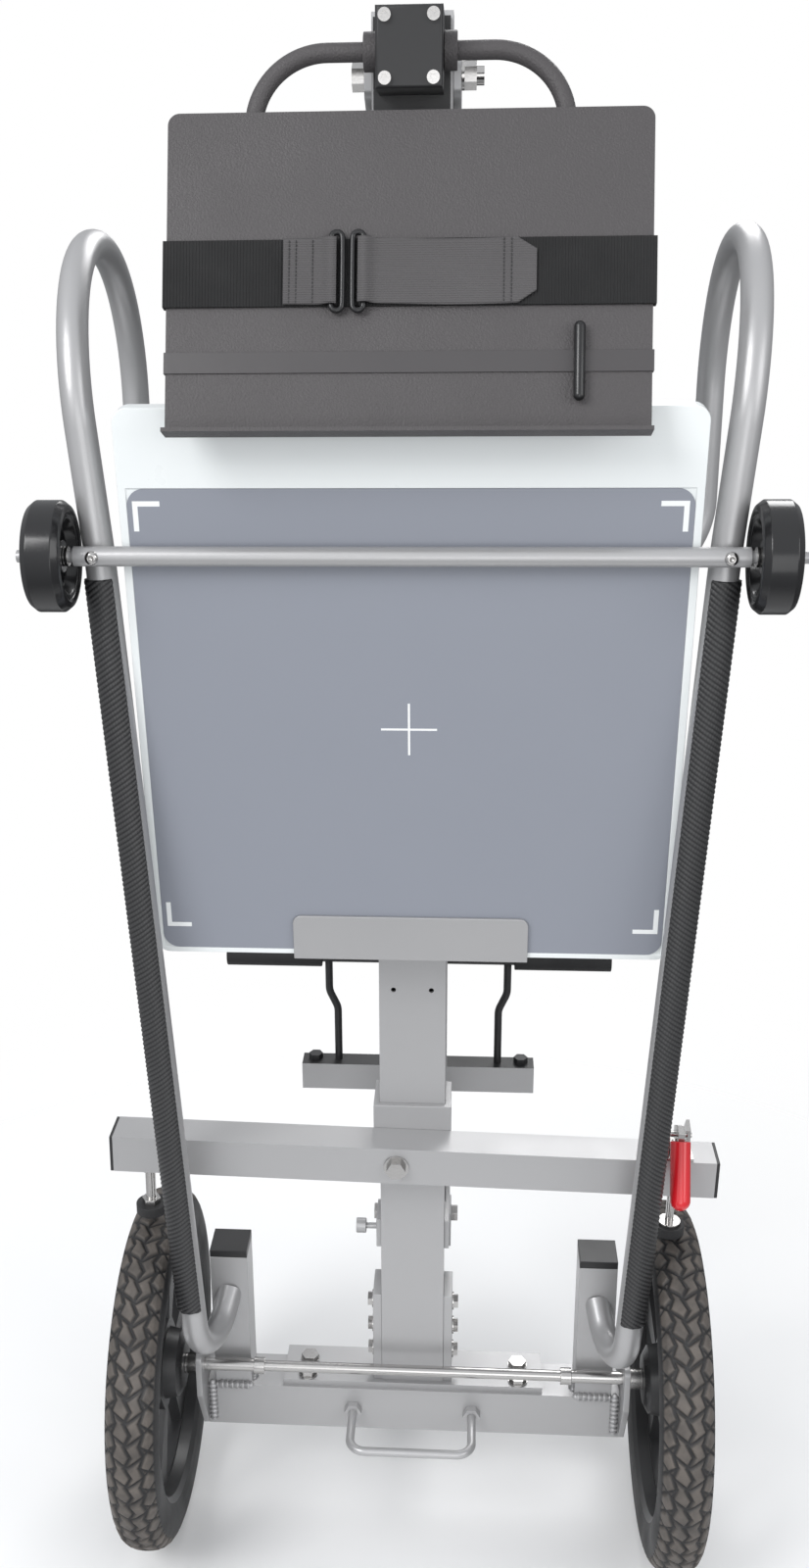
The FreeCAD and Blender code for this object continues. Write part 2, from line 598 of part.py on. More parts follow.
bar_y = ("bar_front", "bar_back")
on_bar(carved(block(("-bar_half", "bar_half"), bar_y, ("bar_low", "bar_top")),
              block(("-bar_half - 1", "bar_half + 1"), ("bar_front + bar_wall", "bar_back - bar_wall"),
                    ("bar_low + bar_wall", "bar_top - bar_wall")),
              rod("bolt_across + 2 * run_gap", "Y", ("bar_front - 1", "bar_back + 1"), "pivot_x", z="bar_z"),
              rod("stud_across", "Z", ("bar_low - 1", "bar_low + bar_wall + 1"), "stud_x", "bar_mid_y"),
              rod("plunger_across + 2 * run_gap", "Z", ("bar_low - 1", "bar_top + 1"), "toggle_x", "bar_mid_y")),
       "brake_bar")
on_bar(group(*[joined(block(span(s, "bar_half", "bar_half + 3"), bar_y, ("bar_low", "bar_top")),
                      block(span(s, "bar_half - 12", "bar_half + 1"),
                            ("bar_front + bar_wall", "bar_back - bar_wall"),
                            ("bar_low + bar_wall", "bar_top - bar_wall"))) for _, s in SIDES]), "brake_bar_plugs")
foot_low = "wheel_across + foot_lift"
on_bar(joined(rod("stud_across", "Z", (f"{foot_low} + pad_thick - 4", "bar_low + bar_wall + 8"), "stud_x", "bar_mid_y"),
              hexagon("head_flats", "Z", ("bar_low - 8", "bar_low"), "stud_x", "bar_mid_y"),
              hexagon("head_flats", "Z", ("bar_low + bar_wall", "bar_low + bar_wall + 8"), "stud_x",
                      "bar_mid_y"),
              hexagon("head_flats", "Z", (f"{foot_low} + pad_thick", f"{foot_low} + pad_thick + 6"), "stud_x",
                      "bar_mid_y")), "brake_stud")
on_bar(carved(rod("foot_across", "Z", (foot_low, f"{foot_low} + pad_thick"), "stud_x", "bar_mid_y"),
              rod("stud_across", "Z", (f"{foot_low} + pad_thick - 4", f"{foot_low} + pad_thick + 1"), "stud_x",
                  "bar_mid_y")), "brake_foot")

# Toggle clamp: base with two cheeks, a lever with a vinyl grip, and a plunger with the brake pad.
LEVER_Y, LEVER_Z = "bar_mid_y - 5", "bar_top + 22"
cheek_spans = [("toggle_x - 11", "toggle_x - 8"), ("toggle_x + 8", "toggle_x + 11")]
cheek_bodies = [padded("YZ", [("bar_mid_y - 14", "bar_top + 3"), ("bar_mid_y + 16", "bar_top + 3"),
                              ("bar_mid_y + 10", "bar_top + 24"), ("bar_mid_y + 2", "bar_top + 34"),
                              ("bar_mid_y - 12", "bar_top + 30")], *x) for x in cheek_spans]
on_bar(carved(joined(block(("toggle_x - 15", "toggle_x + 15"), ("bar_front + 1", "bar_back - 1"),
                           ("bar_top", "bar_top + 3")),
                     *cheek_bodies,
                     rod("15", "Z", ("bar_top + 2", "bar_top + 12"), "toggle_x", "bar_mid_y"),
                     rod("6", "X", ("toggle_x - 13", "toggle_x + 13"), y=LEVER_Y, z=LEVER_Z)),
              rod("plunger_across + 2 * run_gap", "Z", ("bar_top - 1", "bar_top + 14"), "toggle_x", "bar_mid_y")),
       "toggle_base")
lever = padded("YZ", [(f"{LEVER_Y} + 6", f"{LEVER_Z} - 5"), (f"{LEVER_Y} + 6", f"{LEVER_Z} + 6"),
                      (f"{LEVER_Y} - 13", f"{LEVER_Z} + 17"), (f"{LEVER_Y} - 23", f"{LEVER_Z} + 14"),
                      (f"{LEVER_Y} - 24", f"{LEVER_Z} + 4"), (f"{LEVER_Y} - 14", f"{LEVER_Z} + 5"),
                      (f"{LEVER_Y} - 6", f"{LEVER_Z} - 5")], "toggle_x - 3", "toggle_x + 3")
on_bar(carved(lever, rod("6 + 2 * run_gap", "X", ("toggle_x - 4", "toggle_x + 4"), y=LEVER_Y, z=LEVER_Z)),
       "toggle_lever")
pivot_y, pivot_z = size("bar_mid_y") - 5, size("bar_top") + 22
grip_top = Vector(size("toggle_x"), pivot_y - 19, pivot_z + 3.5)
grip_way = Vector(0, -28, -50).normalize()
grip_r = size("grip_across") / 2
grip = Part.makeCylinder(grip_r, 54, grip_top, grip_way).fuse(Part.makeSphere(grip_r, grip_top + grip_way * 54))
on_bar(solid(grip.cut(lever.Shape).removeSplitter()), "toggle_grip")
on_bar(joined(rod("plunger_across", "Z", ("wheel_across + pad_lift + pad_thick", "bar_top + 13"), "toggle_x",
                  "bar_mid_y"),
              rod("foot_across - 8", "Z", ("wheel_across + pad_lift + pad_thick", "wheel_across + pad_lift + pad_thick + 3"),
                  "toggle_x", "bar_mid_y")), "brake_plunger")
on_bar(rod("foot_across", "Z", ("wheel_across + pad_lift", "wheel_across + pad_lift + pad_thick"), "toggle_x",
           "bar_mid_y"), "brake_pad")

# Rails: one bent tube each side. It rises from the post, runs up as the truck's rail, makes the
# handle loop and comes back down to the mast behind the detector.
rise = math.radians(size("rail_rise"))
turn = math.pi / 2 + rise
reach = size("rail_bend") * math.tan(turn / 2)
slope = (size("tube_rail_x") - size("rail_low_x")) / (size("cross_z") - size("rail_low_z"))
corner_z = size("rail_low_z") - reach
skids = []
for name, s in SIDES:
    def point(x, y, z):
        return Vector(s * x, y, z)
    corner = point(size("rail_low_x") - slope * reach, size("rail_y"), corner_z)
    into_post = size("beam_front") + 6 - size("rail_y")
    rail_points = [point(size("post_x"), size("beam_front") + 6, corner_z + into_post * math.tan(rise)), corner,
                   point(size("tube_rail_x"), size("rail_y"), size("cross_z")),
                   point(size("loop_x"), size("rail_y"), size("loop_top")),
                   point(size("loop_x"), size("far_y"), size("loop_top")),
                   point(size("loop_x"), size("far_y"), size("stay_corner_z")),
                   point(size("mast_half") - 14, size("mast_mid_y"), size("stay_z"))]
    loop_bend = size("loop_deep") / 2 - 0.5
    bends = [size("rail_bend"), 300, loop_bend, loop_bend, size("stay_bend")]
    outer = bent_bar(rail_points, bends, size("rail_across"))
    inner = bent_bar(rail_points, bends, size("rail_across") - 2 * size("rail_wall"))
    post = solid_block((s * size("post_x") - 40, s * size("post_x") + 40), (size("beam_front"), size("beam_front") + 60),
                       (size("beam_top"), size("post_top") + 40))
    mast_block = solid_block((-size("mast_half"), size("mast_half")), (size("mast_front"), size("mast_back")),
                             (size("deck_top"), size("mast_top")))
    far_side = solid_block(sorted((0, -s * 200)), (-200, 300), (0, size("mast_top")))
    rail = outer.cut(inner).cut(post.fuse(mast_block).fuse(far_side))
    keep(solid(rail.Solids[0] if len(rail.Solids) == 1 else max(rail.Solids, key=lambda part: part.Volume)),
         f"rail_{name}")

    # Skid sleeve: half a tube of ribbed rubber on the operator's side of the rail.
    low = Vector(s * (size("rail_low_x") + slope * (size("skid_low") - size("rail_low_z"))), size("rail_y"),
                 size("skid_low"))
    high = Vector(s * (size("rail_low_x") + slope * (size("skid_high") - size("rail_low_z"))), size("rail_y"),
                  size("skid_high"))
    way = high - low
    skid_r = size("rail_across") / 2 + size("skid_thick")
    sleeve = Part.makeCylinder(skid_r, way.Length, low, way).cut(Part.makeCylinder(size("rail_across") / 2,
                                                                                  way.Length, low, way))
    front_half = solid_block((s * 231 - 80, s * 231 + 80), (size("rail_y") - 60, size("rail_y")), (0, size("mast_top")))
    skids.append(solid(sleeve.common(front_half)))
keep(group(*skids), "skid_sleeves")

# Cross tube on the front of the rails: it carries the small wheels and stops the detector.
keep(joined(rod("cross_across", "X", ("-cross_half", "cross_half"), y="cross_y", z="cross_z"),
            *[rod("small_axle", "X", span(s, "cross_half - 1", "small_out + 18"), y="cross_y", z="cross_z")
              for _, s in SIDES]), "cross_tube")
keep(group(*[carved(joined(rod("16", "X", span(s, "small_in - 4", "small_in"), y="cross_y", z="cross_z"),
                           hexagon("15", "X", span(s, "small_out", "small_out + 9"), y="cross_y", z="cross_z")),
                    rod("small_axle", "X", span(s, "small_in - 5", "small_out + 19"), y="cross_y", z="cross_z"),
                    rod("cross_across", "X", ("-cross_half", "cross_half"), y="cross_y", z="cross_z"))
             for _, s in SIDES]), "small_wheel_nuts")

# Small wheels: the stand rolls on them when it is laid back. Nylon rim, rubber tread.
small_rim = [("-small_hub_half", "small_axle / 2 + run_gap"), ("small_hub_half", "small_axle / 2 + run_gap"),
             ("small_hub_half", "13"), ("small_hub_half - 5", "15"), ("small_hub_half - 5", "27"),
             ("small_wide / 2 - 2", "30"), ("small_wide / 2 - 2", "34"), ("2 - small_wide / 2", "34"),
             ("2 - small_wide / 2", "30"), ("5 - small_hub_half", "27"), ("5 - small_hub_half", "15"),
             ("-small_hub_half", "13")]
small_tread = [("2 - small_wide / 2", "34"), ("small_wide / 2 - 2", "34"), ("small_wide / 2", "36.5"),
               ("small_wide / 2 - 1", "small_across / 2 - 4"), ("small_wide / 2 - 6", "small_across / 2"),
               ("6 - small_wide / 2", "small_across / 2"), ("1 - small_wide / 2", "small_across / 2 - 4"),
               ("-small_wide / 2", "36.5")]
for name, s in SIDES:
    keep(at(revolved(small_rim), f"{s} * small_x", "cross_y", "cross_z"), f"small_rim_{name}")
    keep(at(revolved(small_tread), f"{s} * small_x", "cross_y", "cross_z"), f"small_tyre_{name}")

# Detector: flat panel in a bent trough. It leans on the cross tube, so its lean follows from that tube.
rest_y = size("cross_y") + size("cross_across") / 2 + size("soft_gap")
lean = math.degrees(math.atan2(size("panel_y") - rest_y, size("cross_z") - size("panel_z")))


def leaned(thing, degrees, y, z):
    """Turns a piece that was made upright, about the X line through its own origin."""
    thing.Placement = Placement(Vector(0, size(y), size(z)), Rotation(Vector(1, 0, 0), degrees))
    return thing


def panel_outline(half, low, high):
    return [(f"-({half})", low), (half, low), (half, high), (f"-({half})", high)]


shell = rounded(padded("XZ", panel_outline("panel_side / 2", "0", "panel_tall"), "0", "panel_thick"),
                "panel_round", runs_along(Vector(0, 1, 0)))
shell_cut = carved(shell, block(("-face_side / 2", "face_side / 2"), ("-1", "face_thick"),
                                ("face_low", "face_low + face_tall")))
keep(leaned(shell_cut, lean, "panel_y", "panel_z"), "detector_shell")
face = padded("XZ", panel_outline("face_side / 2", "face_low", "face_low + face_tall"), "0", "face_thick")
keep(leaned(face, lean, "panel_y", "panel_z"), "detector_face")
trough = padded("YZ", [("-soft_gap", "-soft_gap"), ("-soft_gap", "trough_lip"),
                       ("-soft_gap - sheet_thick", "trough_lip"), ("-soft_gap - sheet_thick", "-soft_gap - sheet_thick"),
                       ("panel_thick + soft_gap + sheet_thick", "-soft_gap - sheet_thick"),
                       ("panel_thick + soft_gap + sheet_thick", "trough_back"),
                       ("panel_thick + soft_gap", "trough_back"), ("panel_thick + soft_gap", "-soft_gap")],
                "-trough_half", "trough_half")
rounded(trough, "8", lambda edge: runs_along(Vector(0, 1, 0))(edge) and edge.BoundBox.ZMin > 10)
leaned(trough, lean, "panel_y", "panel_z")
arm_back = size("panel_thick") + size("soft_gap") + size("sheet_thick")
sine, cosine = math.sin(math.radians(lean)), math.cos(math.radians(lean))
ends = [Vector(0, size("panel_y") + arm_back * cosine - up * sine, size("panel_z") + arm_back * sine + up * cosine)
        for up in (0, 50)]
front = size("mast_front")
arm_wire = Part.makePolygon([ends[0], Vector(0, front, ends[0].z - 10), Vector(0, front, ends[1].z - 10), ends[1],
                             ends[0]])
arm = Part.Face(arm_wire).extrude(Vector(2 * size("arm_half"), 0, 0))
arm.translate(Vector(-size("arm_half"), 0, 0))
keep(joined(trough, solid(arm)), "detector_bracket")

# Laptop tray: folded sheet with a lip, on a bent tube that swings in the clamp block.
tray = padded("YZ", [("-tray_lip", "0"), ("sheet_thick", "0"), ("sheet_thick", "tray_tall"), ("0", "tray_tall"),
                     ("0", "sheet_thick"), ("-tray_lip", "sheet_thick")], "-tray_half", "tray_half")
rounded(tray, "tray_round", lambda edge: runs_along(Vector(0, 1, 0))(edge) and edge.BoundBox.ZMin > 100)
tray_angle = -size("tray_lean")
leaned(tray, tray_angle, "tray_y", "tray_z")


def ring_round_tray(wide, thick, up):
    """A flat band that wraps the tray from edge to edge."""
    height = (f"{up} - {wide} / 2", f"{up} + {wide} / 2")
    return carved(block((f"-tray_half - soft_gap - {thick}", f"tray_half + soft_gap + {thick}"),
                        (f"-soft_gap - {thick}", f"sheet_thick + soft_gap + {thick}"), height),
                  block(("-tray_half - soft_gap", "tray_half + soft_gap"),
                        ("-soft_gap", "sheet_thick + soft_gap"), (f"{height[0]} - 1", f"{height[1]} + 1")))


bow_y, bow_z, bow_half = size("bow_y"), size("bow_z"), size("bow_half")
down = Vector(0, -math.sin(math.radians(size("tray_lean"))), -math.cos(math.radians(size("tray_lean"))))
bow_points = [Vector(-bow_half, bow_y, bow_z) + down * size("bow_leg"), Vector(-bow_half, bow_y, bow_z),
              Vector(bow_half, bow_y, bow_z), Vector(bow_half, bow_y, bow_z) + down * size("bow_leg")]
bow = bent_bar(bow_points, [size("bow_bend")] * 2, size("bow_across"))
strap = ring_round_tray("strap_wide", "strap_thick", "strap_up")
band = ring_round_tray("band_wide", "band_thick", "band_up")
for thing, label in ((strap, "tray_strap"), (band, "tray_band")):
    doc.recompute()
    made = thing.Shape.copy()
    made.Placement = Placement(Vector(0, size("tray_y"), size("tray_z")), Rotation(Vector(1, 0, 0), tray_angle))
    grown = bent_bar(bow_points, [size("bow_bend")] * 2, size("bow_across") + 2 * size("soft_gap"))
    keep(solid(made.cut(grown)), label)
keep(solid(bow), "tray_tube")
buckle_y = ("-soft_gap - strap_thick - 3", "-soft_gap - strap_thick")
buckle = carved(block(("-56", "-32"), buckle_y, ("strap_up - 31", "strap_up + 31")),
                block(("-52", "-46"), ("-20", "5"), ("strap_up - 27", "strap_up + 27")),
                block(("-42", "-36"), ("-20", "5"), ("strap_up - 27", "strap_up + 27")))
keep(leaned(buckle, tray_angle, "tray_y", "tray_z"), "strap_buckle")
peg_y = "-soft_gap - band_thick - peg_across / 2"
peg = joined(rod("peg_across", "Z", ("band_up - 31", "band_up - 31 + peg_long"), "peg_x", peg_y),
             rod("peg_across - 3", "Z", ("band_up - 35", "band_up - 30"), "peg_x", peg_y))
keep(leaned(peg, tray_angle, "tray_y", "tray_z"), "band_peg")
clips = []
for s in (-1, 1):
    for up in (84, 170):
        clip = solid_block((s * bow_half - 12, s * bow_half + 12), (size("sheet_thick"), size("sheet_thick") + 18),
                           (up - 8, up + 8))
        clip.Placement = Placement(Vector(0, size("tray_y"), size("tray_z")), Rotation(Vector(1, 0, 0), tray_angle))
        clips.append(solid(clip.cut(bow)))
keep(joined(tray, *clips), "laptop_tray")

# Clamp block: two halves with socket screws, bored for the tray tube, and split collars beside it.
clamp_z = ("bow_z - clamp_tall / 2", "bow_z + clamp_tall / 2")
clamp_x = ("-clamp_half", "clamp_half")
bore = [rod("bow_across + 2 * run_gap", "X", ("-clamp_half - 1", "clamp_half + 1"), y="bow_y", z="bow_z")
        for _ in range(2)]
SCREWS = [(sx, sz) for sx in (-1, 1) for sz in (-1, 1)]


def screw_holes(low, high):
    return [rod("6", "Y", (low, high), f"{sx} * (clamp_half - 7)", z=f"bow_z + {sz} * (clamp_tall / 2 - 7)")
            for sx, sz in SCREWS]


keep(carved(joined(block(clamp_x, ("bow_y + split / 2", "mast_front"), clamp_z),
                   block(("-mast_half + 2", "mast_half - 2"), ("mast_front - 12", "mast_front"),
                         ("bow_z - clamp_tall / 2 - 12", "mast_top - 2"))),
            bore[0], *screw_holes("bow_y", "mast_front - 14")), "clamp_base")
cover = padded("XZ", panel_outline("clamp_half", *clamp_z), "clamp_front", "bow_y - split / 2")
rounded(cover, "3", lambda edge: edge.BoundBox.YMax < size("clamp_front") + 0.01)
keep(carved(cover, bore[1], *screw_holes("clamp_front - 1", "bow_y")), "clamp_cover")
keep(group(*[carved(joined(rod("6", "Y", ("clamp_front", "mast_front - 14"), f"{sx} * (clamp_half - 7)",
                               z=f"bow_z + {sz} * (clamp_tall / 2 - 7)"),
                           rod("9.5", "Y", ("clamp_front - 3", "clamp_front"), f"{sx} * (clamp_half - 7)",
                               z=f"bow_z + {sz} * (clamp_tall / 2 - 7)")),
                    hexagon("4.5", "Y", ("clamp_front - 4", "clamp_front - 0.5"), f"{sx} * (clamp_half - 7)",
                            z=f"bow_z + {sz} * (clamp_tall / 2 - 7)")) for sx, sz in SCREWS]), "clamp_screws")
keep(group(*[carved(rod("ring_across", "X", span(s, "clamp_half + soft_gap", "clamp_half + soft_gap + ring_long"),
                        y="bow_y", z="bow_z"),
                    rod("bow_across", "X", span(s, "clamp_half", "clamp_half + soft_gap + ring_long + 1"),
                        y="bow_y", z="bow_z"),
                    block(span(s, "clamp_half", "clamp_half + soft_gap + ring_long + 1"),
                          ("bow_y - 1", "bow_y + 1"), ("bow_z", "bow_z + ring_across")))
             for _, s in SIDES]), "clamp_collars")

# Arm shoulder: fork plates on both sides of the mast, on one bolt with a cap nut.
SHOULDER = {"y": "mast_mid_y", "z": "shoulder_z"}
welded = []
for _, s in SIDES:
    plate = padded("YZ", [("mast_mid_y - 14", "shoulder_z - 15"), ("mast_mid_y + 6", "shoulder_z - 24"),
                          ("boom_front", "shoulder_z - 60"), ("boom_back", "shoulder_z - 60"),
                          ("boom_back", "shoulder_z + 14"), ("mast_mid_y + 10", "shoulder_z + 14"),
                          ("mast_mid_y - 14", "shoulder_z + 14")], *span(s, "arm_side", "arm_out"))
    rounded(plate, "9", lambda edge: runs_along(Vector(1, 0, 0))(edge) and edge.BoundBox.YMax < size("boom_front"))
    welded.append(carved(plate, rod("pin_across + 2 * run_gap", "X", span(s, "arm_side - 1", "arm_out + 1"),
                                    **SHOULDER)))
shoulder_bolt = joined(
            rod("pin_across", "X", ("-arm_out - 8", "arm_out + 16"), **SHOULDER),
            rod("22", "X", ("arm_out + soft_gap", "arm_out + 2.5"), **SHOULDER),
            hexagon("19", "X", ("arm_out + 2.5", "arm_out + 12"), **SHOULDER),
            rod("15", "X", ("arm_out + 12", "arm_out + 18"), **SHOULDER),
            hexagon("19", "X", ("-arm_out - 10", "-arm_out - soft_gap"), **SHOULDER))
stop_bolt = joined(
            rod("8", "X", ("-mast_half - 2", "mast_half + 2"), y="mast_mid_y", z="stop_z"),
            *[hexagon("13", "X", span(s, "mast_half", "mast_half + 6"), y="mast_mid_y", z="stop_z")
              for _, s in SIDES])
keep(group(shoulder_bolt, stop_bolt, pivot_bolt), "mast_bolts")

# Upper arm: rectangular tube that hangs behind the mast when it is folded, with ears at its elbow.
boom_x = ("-arm_side", "arm_side")
boom = carved(block(boom_x, ("boom_front", "boom_back"), ("boom_low", "shoulder_z + 14")),
            block(("-arm_side + boom_wall", "arm_side - boom_wall"),
                  ("boom_front + boom_wall", "boom_back - boom_wall"), ("boom_low + 6", "shoulder_z + 8")))
for _, s in SIDES:
    ear = padded("YZ", [("boom_front", "elbow_z - 16"), ("elbow_y + 14", "elbow_z - 16"),
                        ("elbow_y + 14", "elbow_z + 16"), ("boom_front", "elbow_z + 24")],
                 *span(s, "arm_side", "arm_out"))
    rounded(ear, "9", lambda edge: runs_along(Vector(1, 0, 0))(edge) and edge.BoundBox.YMin > size("boom_back"))
    welded.append(carved(ear, rod("pin_across", "X", span(s, "arm_side - 1", "arm_out + 1"), y="elbow_y",
                                  z="elbow_z")))
keep(joined(boom, *welded), "upper_arm")
ELBOW = {"y": "elbow_y", "z": "elbow_z"}
keep(joined(rod("pin_across", "X", ("-arm_out - 2", "arm_out + 2"), **ELBOW),
            *[hexagon("head_flats", "X", span(s, "arm_out", "arm_out + 7"), **ELBOW) for _, s in SIDES],
            *[rod("18", "X", span(s, "fore_wide / 2 + soft_gap", "arm_side"), **ELBOW) for _, s in SIDES]),
     "elbow_pin")

# Forearm: folded up behind the upper arm, round at its elbow, with the yoke of the head at its top.
fore_tube = carved(joined(block(("-fore_wide / 2", "fore_wide / 2"), ("fore_front", "fore_back"), ("elbow_z", "fore_top")),
                   rod("fore_deep", "X", ("-fore_wide / 2", "fore_wide / 2"), **ELBOW)),
            block(("-fore_wide / 2 + boom_wall", "fore_wide / 2 - boom_wall"),
                  ("fore_front + boom_wall", "fore_back - boom_wall"), ("elbow_z + 20", "fore_top - 4")),
            rod("pin_across + 2 * run_gap", "X", ("-fore_wide", "fore_wide"), **ELBOW))
HEAD = {"y": "head_y", "z": "head_z"}
yoke_y = ("fore_back", "fore_back + 6")
yoke_arms = [block(span(s, "yoke_half - 6", "yoke_half"), ("fore_back", "head_y + 14"), ("head_z - 18", "head_z + 18"))
             for _, s in SIDES]
yoke_plate = block(("-yoke_half", "yoke_half"), yoke_y, ("head_z - 18", "head_z + 18"))
knobs = [joined(rod("pin_across", "X", span(s, "head_half - 14", "yoke_half + 3"), **HEAD),
                rod("26", "X", span(s, "yoke_half", "yoke_half + 14"), **HEAD)) for _, s in SIDES]
keep(joined(fore_tube, yoke_plate, *yoke_arms, *knobs), "forearm")
bores = [rod("pin_across + 2 * run_gap", "X", span(s, "head_half - 15", "head_half + 2"), **HEAD) for _, s in SIDES]
head = revolved([("-head_half", "0"), ("head_half", "0"), ("head_half", "head_across / 2 - 8"),
                 ("head_half - 8", "head_across / 2"), ("8 - head_half", "head_across / 2"),
                 ("-head_half", "head_across / 2 - 8")])
neck = rod("44", "Z", ("head_z - head_across / 2 - 4", "head_z"), y="head_y")
keep(carved(joined(at(head, "0", "head_y", "head_z"), neck), *bores), "xray_head")
box_top = "head_z - head_across / 2 - 4"
box_low = f"{box_top} - beam_box_tall"
box_y = ("head_y - beam_box / 2", "head_y + beam_box / 2")
keep(carved(block(("-beam_box / 2", "beam_box / 2"), box_y, (box_low, box_top)),
            block(("-beam_box / 2 + 8", "beam_box / 2 - 8"),
                  ("head_y - beam_box / 2 + 8", "head_y + beam_box / 2 - 8"),
                  (f"{box_low} - 1", f"{box_low} + 3"))), "collimator")

# Grip frame on the forearm: channel on rubber mounts, two bent rods and the grip bar.
channel_y = ("bracket_y", "bracket_y + 24")
channel_z = ("bracket_z", "bracket_z + bracket_tall")
channel = carved(block(("-bracket_half", "bracket_half"), channel_y, channel_z),
            block(("-bracket_half - 1", "bracket_half + 1"), ("bracket_y + 4", "bracket_y + 25"),
                  ("bracket_z - 1", "bracket_z + bracket_tall - 4")))
spacer = block(("-fore_wide / 2", "fore_wide / 2"), ("fore_back", "bracket_y"), channel_z)
heads = [hexagon("13", "Z", ("bracket_z + bracket_tall", "bracket_z + bracket_tall + 6"),
                 f"{s} * (bracket_half - 14)", "bracket_y + 14") for _, s in SIDES]
rods = []
bar_low_z = size("bracket_z") + size("bracket_tall")
rod_y = size("bracket_y") + 14
for s in (-1, 1):
    x = size("grip_rod_x")
    points = [Vector(s * (x - 9), rod_y, bar_low_z), Vector(s * (x - 9), rod_y, bar_low_z + 62),
              Vector(s * x, rod_y, bar_low_z + 82), Vector(s * x, rod_y, size("grip_bar_z"))]
    rods.append(bent_bar(points, [22, 22], size("grip_rod")))
bar_shape = Part.makeCylinder(size("grip_bar_across") / 2, 2 * size("grip_bar_half"),
                              Vector(-size("grip_bar_half"), rod_y, size("grip_bar_z")), Vector(1, 0, 0))
keep(joined(channel, spacer, *heads, solid(bar_shape.fuse(rods).removeSplitter())), "grip_frame")
keep(group(*[carved(rod("grip_roll", "X", span(s, "grip_bar_half - grip_roll_long", "grip_bar_half + 3"),
                        y="bracket_y + 14", z="grip_bar_z"),
                    rod("grip_bar_across", "X", span(s, "grip_bar_half - grip_roll_long - 1", "grip_bar_half"),
                        y="bracket_y + 14", z="grip_bar_z")) for _, s in SIDES]), "grips")

# Arm latch on the mast: hook bracket at the right and a thumb screw at the left.
latch_z = ("latch_z - 16", "latch_z + 16")
keep(joined(block(("-mast_half - 5", "mast_half + 5"), ("mast_back", "mast_back + 5"), latch_z),
            block(("-mast_half - 5", "-mast_half"), ("mast_front + 6", "mast_back"), latch_z),
            block(("mast_half", "mast_half + 5"), ("mast_front + 6", "mast_back"), latch_z),
            block(("arm_side + soft_gap", "mast_half + 5"), ("mast_back", "boom_front + 14"), latch_z),
            rod("6", "X", ("-mast_half - 20", "-mast_half - 5"), y="mast_mid_y", z="latch_z"),
            rod("15", "X", ("-mast_half - 26", "-mast_half - 16"), y="mast_mid_y", z="latch_z")), "arm_latch")

# Front leg: square tube on the beam's back, with a swivel caster under its end.
leg = carved(block(("-beam_square / 2", "beam_square / 2"), ("beam_back", "leg_end"), ("leg_low", "beam_top")),
            block(("-beam_square / 2 + beam_wall", "beam_square / 2 - beam_wall"), ("beam_back - 1", "leg_end - beam_wall"),
                  ("leg_low + beam_wall", "beam_top - beam_wall")),
            rod("bolt_across", "Z", ("leg_low - 1", "leg_low + beam_wall + 1"), y="caster_y"))
keep(joined(leg, rod("bolt_across", "Z", ("leg_low - 13", "leg_low + beam_wall"), y="caster_y"),
            hexagon("head_flats", "Z", ("leg_low + beam_wall", "leg_low + beam_wall + 7"), y="caster_y")),
     "front_leg")
fork_x = "caster_wide / 2 + 1.5"
caster_mid = "caster_y + caster_trail"
side_plates = [padded("YZ", [("caster_y - 12", "leg_low - 12"), ("caster_y + 18", "leg_low - 12"),
                             (f"{caster_mid} + 11", "caster_r + 9"), (f"{caster_mid} + 11", "caster_r - 9"),
                             (f"{caster_mid} - 8", "caster_r - 9")], *span(s, fork_x, f"{fork_x} + 3"))
               for _, s in SIDES]
swivel = joined(block((f"-({fork_x}) - 3", f"{fork_x} + 3"), ("caster_y - 14", "caster_y + 18"),
                      ("leg_low - 13", "leg_low - 10")), *side_plates,
                rod("30", "Z", ("leg_low - 11", "leg_low - soft_gap"), y="caster_y"))
keep(joined(carved(swivel, rod("bolt_across + 2 * run_gap", "Z", ("leg_low - 20", "leg_low + 1"), y="caster_y")),
            rod("8", "X", (f"-({fork_x}) - 4", f"{fork_x} + 4"), y=caster_mid, z="caster_r"),
            *[hexagon("12", "X", span(s, f"{fork_x} + 3", f"{fork_x} + 9"), y=caster_mid, z="caster_r")
              for _, s in SIDES]), "caster_fork")
keep(at(revolved([("-caster_wide / 2", "4 + run_gap"), ("caster_wide / 2", "4 + run_gap"),
                  ("caster_wide / 2", "caster_r - 12"), ("caster_wide / 2 - 3", "caster_r - 9"),
                  ("caster_wide / 2 - 1", "caster_r - 4"), ("caster_wide / 2 - 6", "caster_r"),
                  ("6 - caster_wide / 2", "caster_r"), ("1 - caster_wide / 2", "caster_r - 4"),
                  ("3 - caster_wide / 2", "caster_r - 9"), ("-caster_wide / 2", "caster_r - 12")]),
        "0", caster_mid, "caster_r"), "caster_wheel")

doc.recompute()
bar_centre = Vector(size("pivot_x"), 0, size("bar_z"))
for thing in BAR_PARTS:
    thing.setExpression("Placement.Base.x", None)
    thing.setExpression("Placement.Base.y", None)
    thing.setExpression("Placement.Base.z", None)
    tilt = Placement(Vector(), Rotation(Vector(0, 1, 0), size("bar_tilt")), bar_centre)
    thing.Placement = tilt.multiply(thing.Placement)
doc.recompute()

for thing in doc.Objects:
    if "Invalid" in thing.State or "Error" in thing.State:
        raise RuntimeError(f"{thing.Label} failed: {thing.State}")
for thing in NODES:
    if thing.Shape.isNull() or not thing.Shape.isValid() or not thing.Shape.Solids:
        raise RuntimeError(f"{thing.Label} has no valid solid")
for thing in NODES:
    thing.Shape.exportStep(f"parts/{thing.Label}.step")
print(len(NODES), "sub-parts,", sum(len(thing.Shape.Solids) for thing in NODES), "solids")
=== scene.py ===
import json
import math

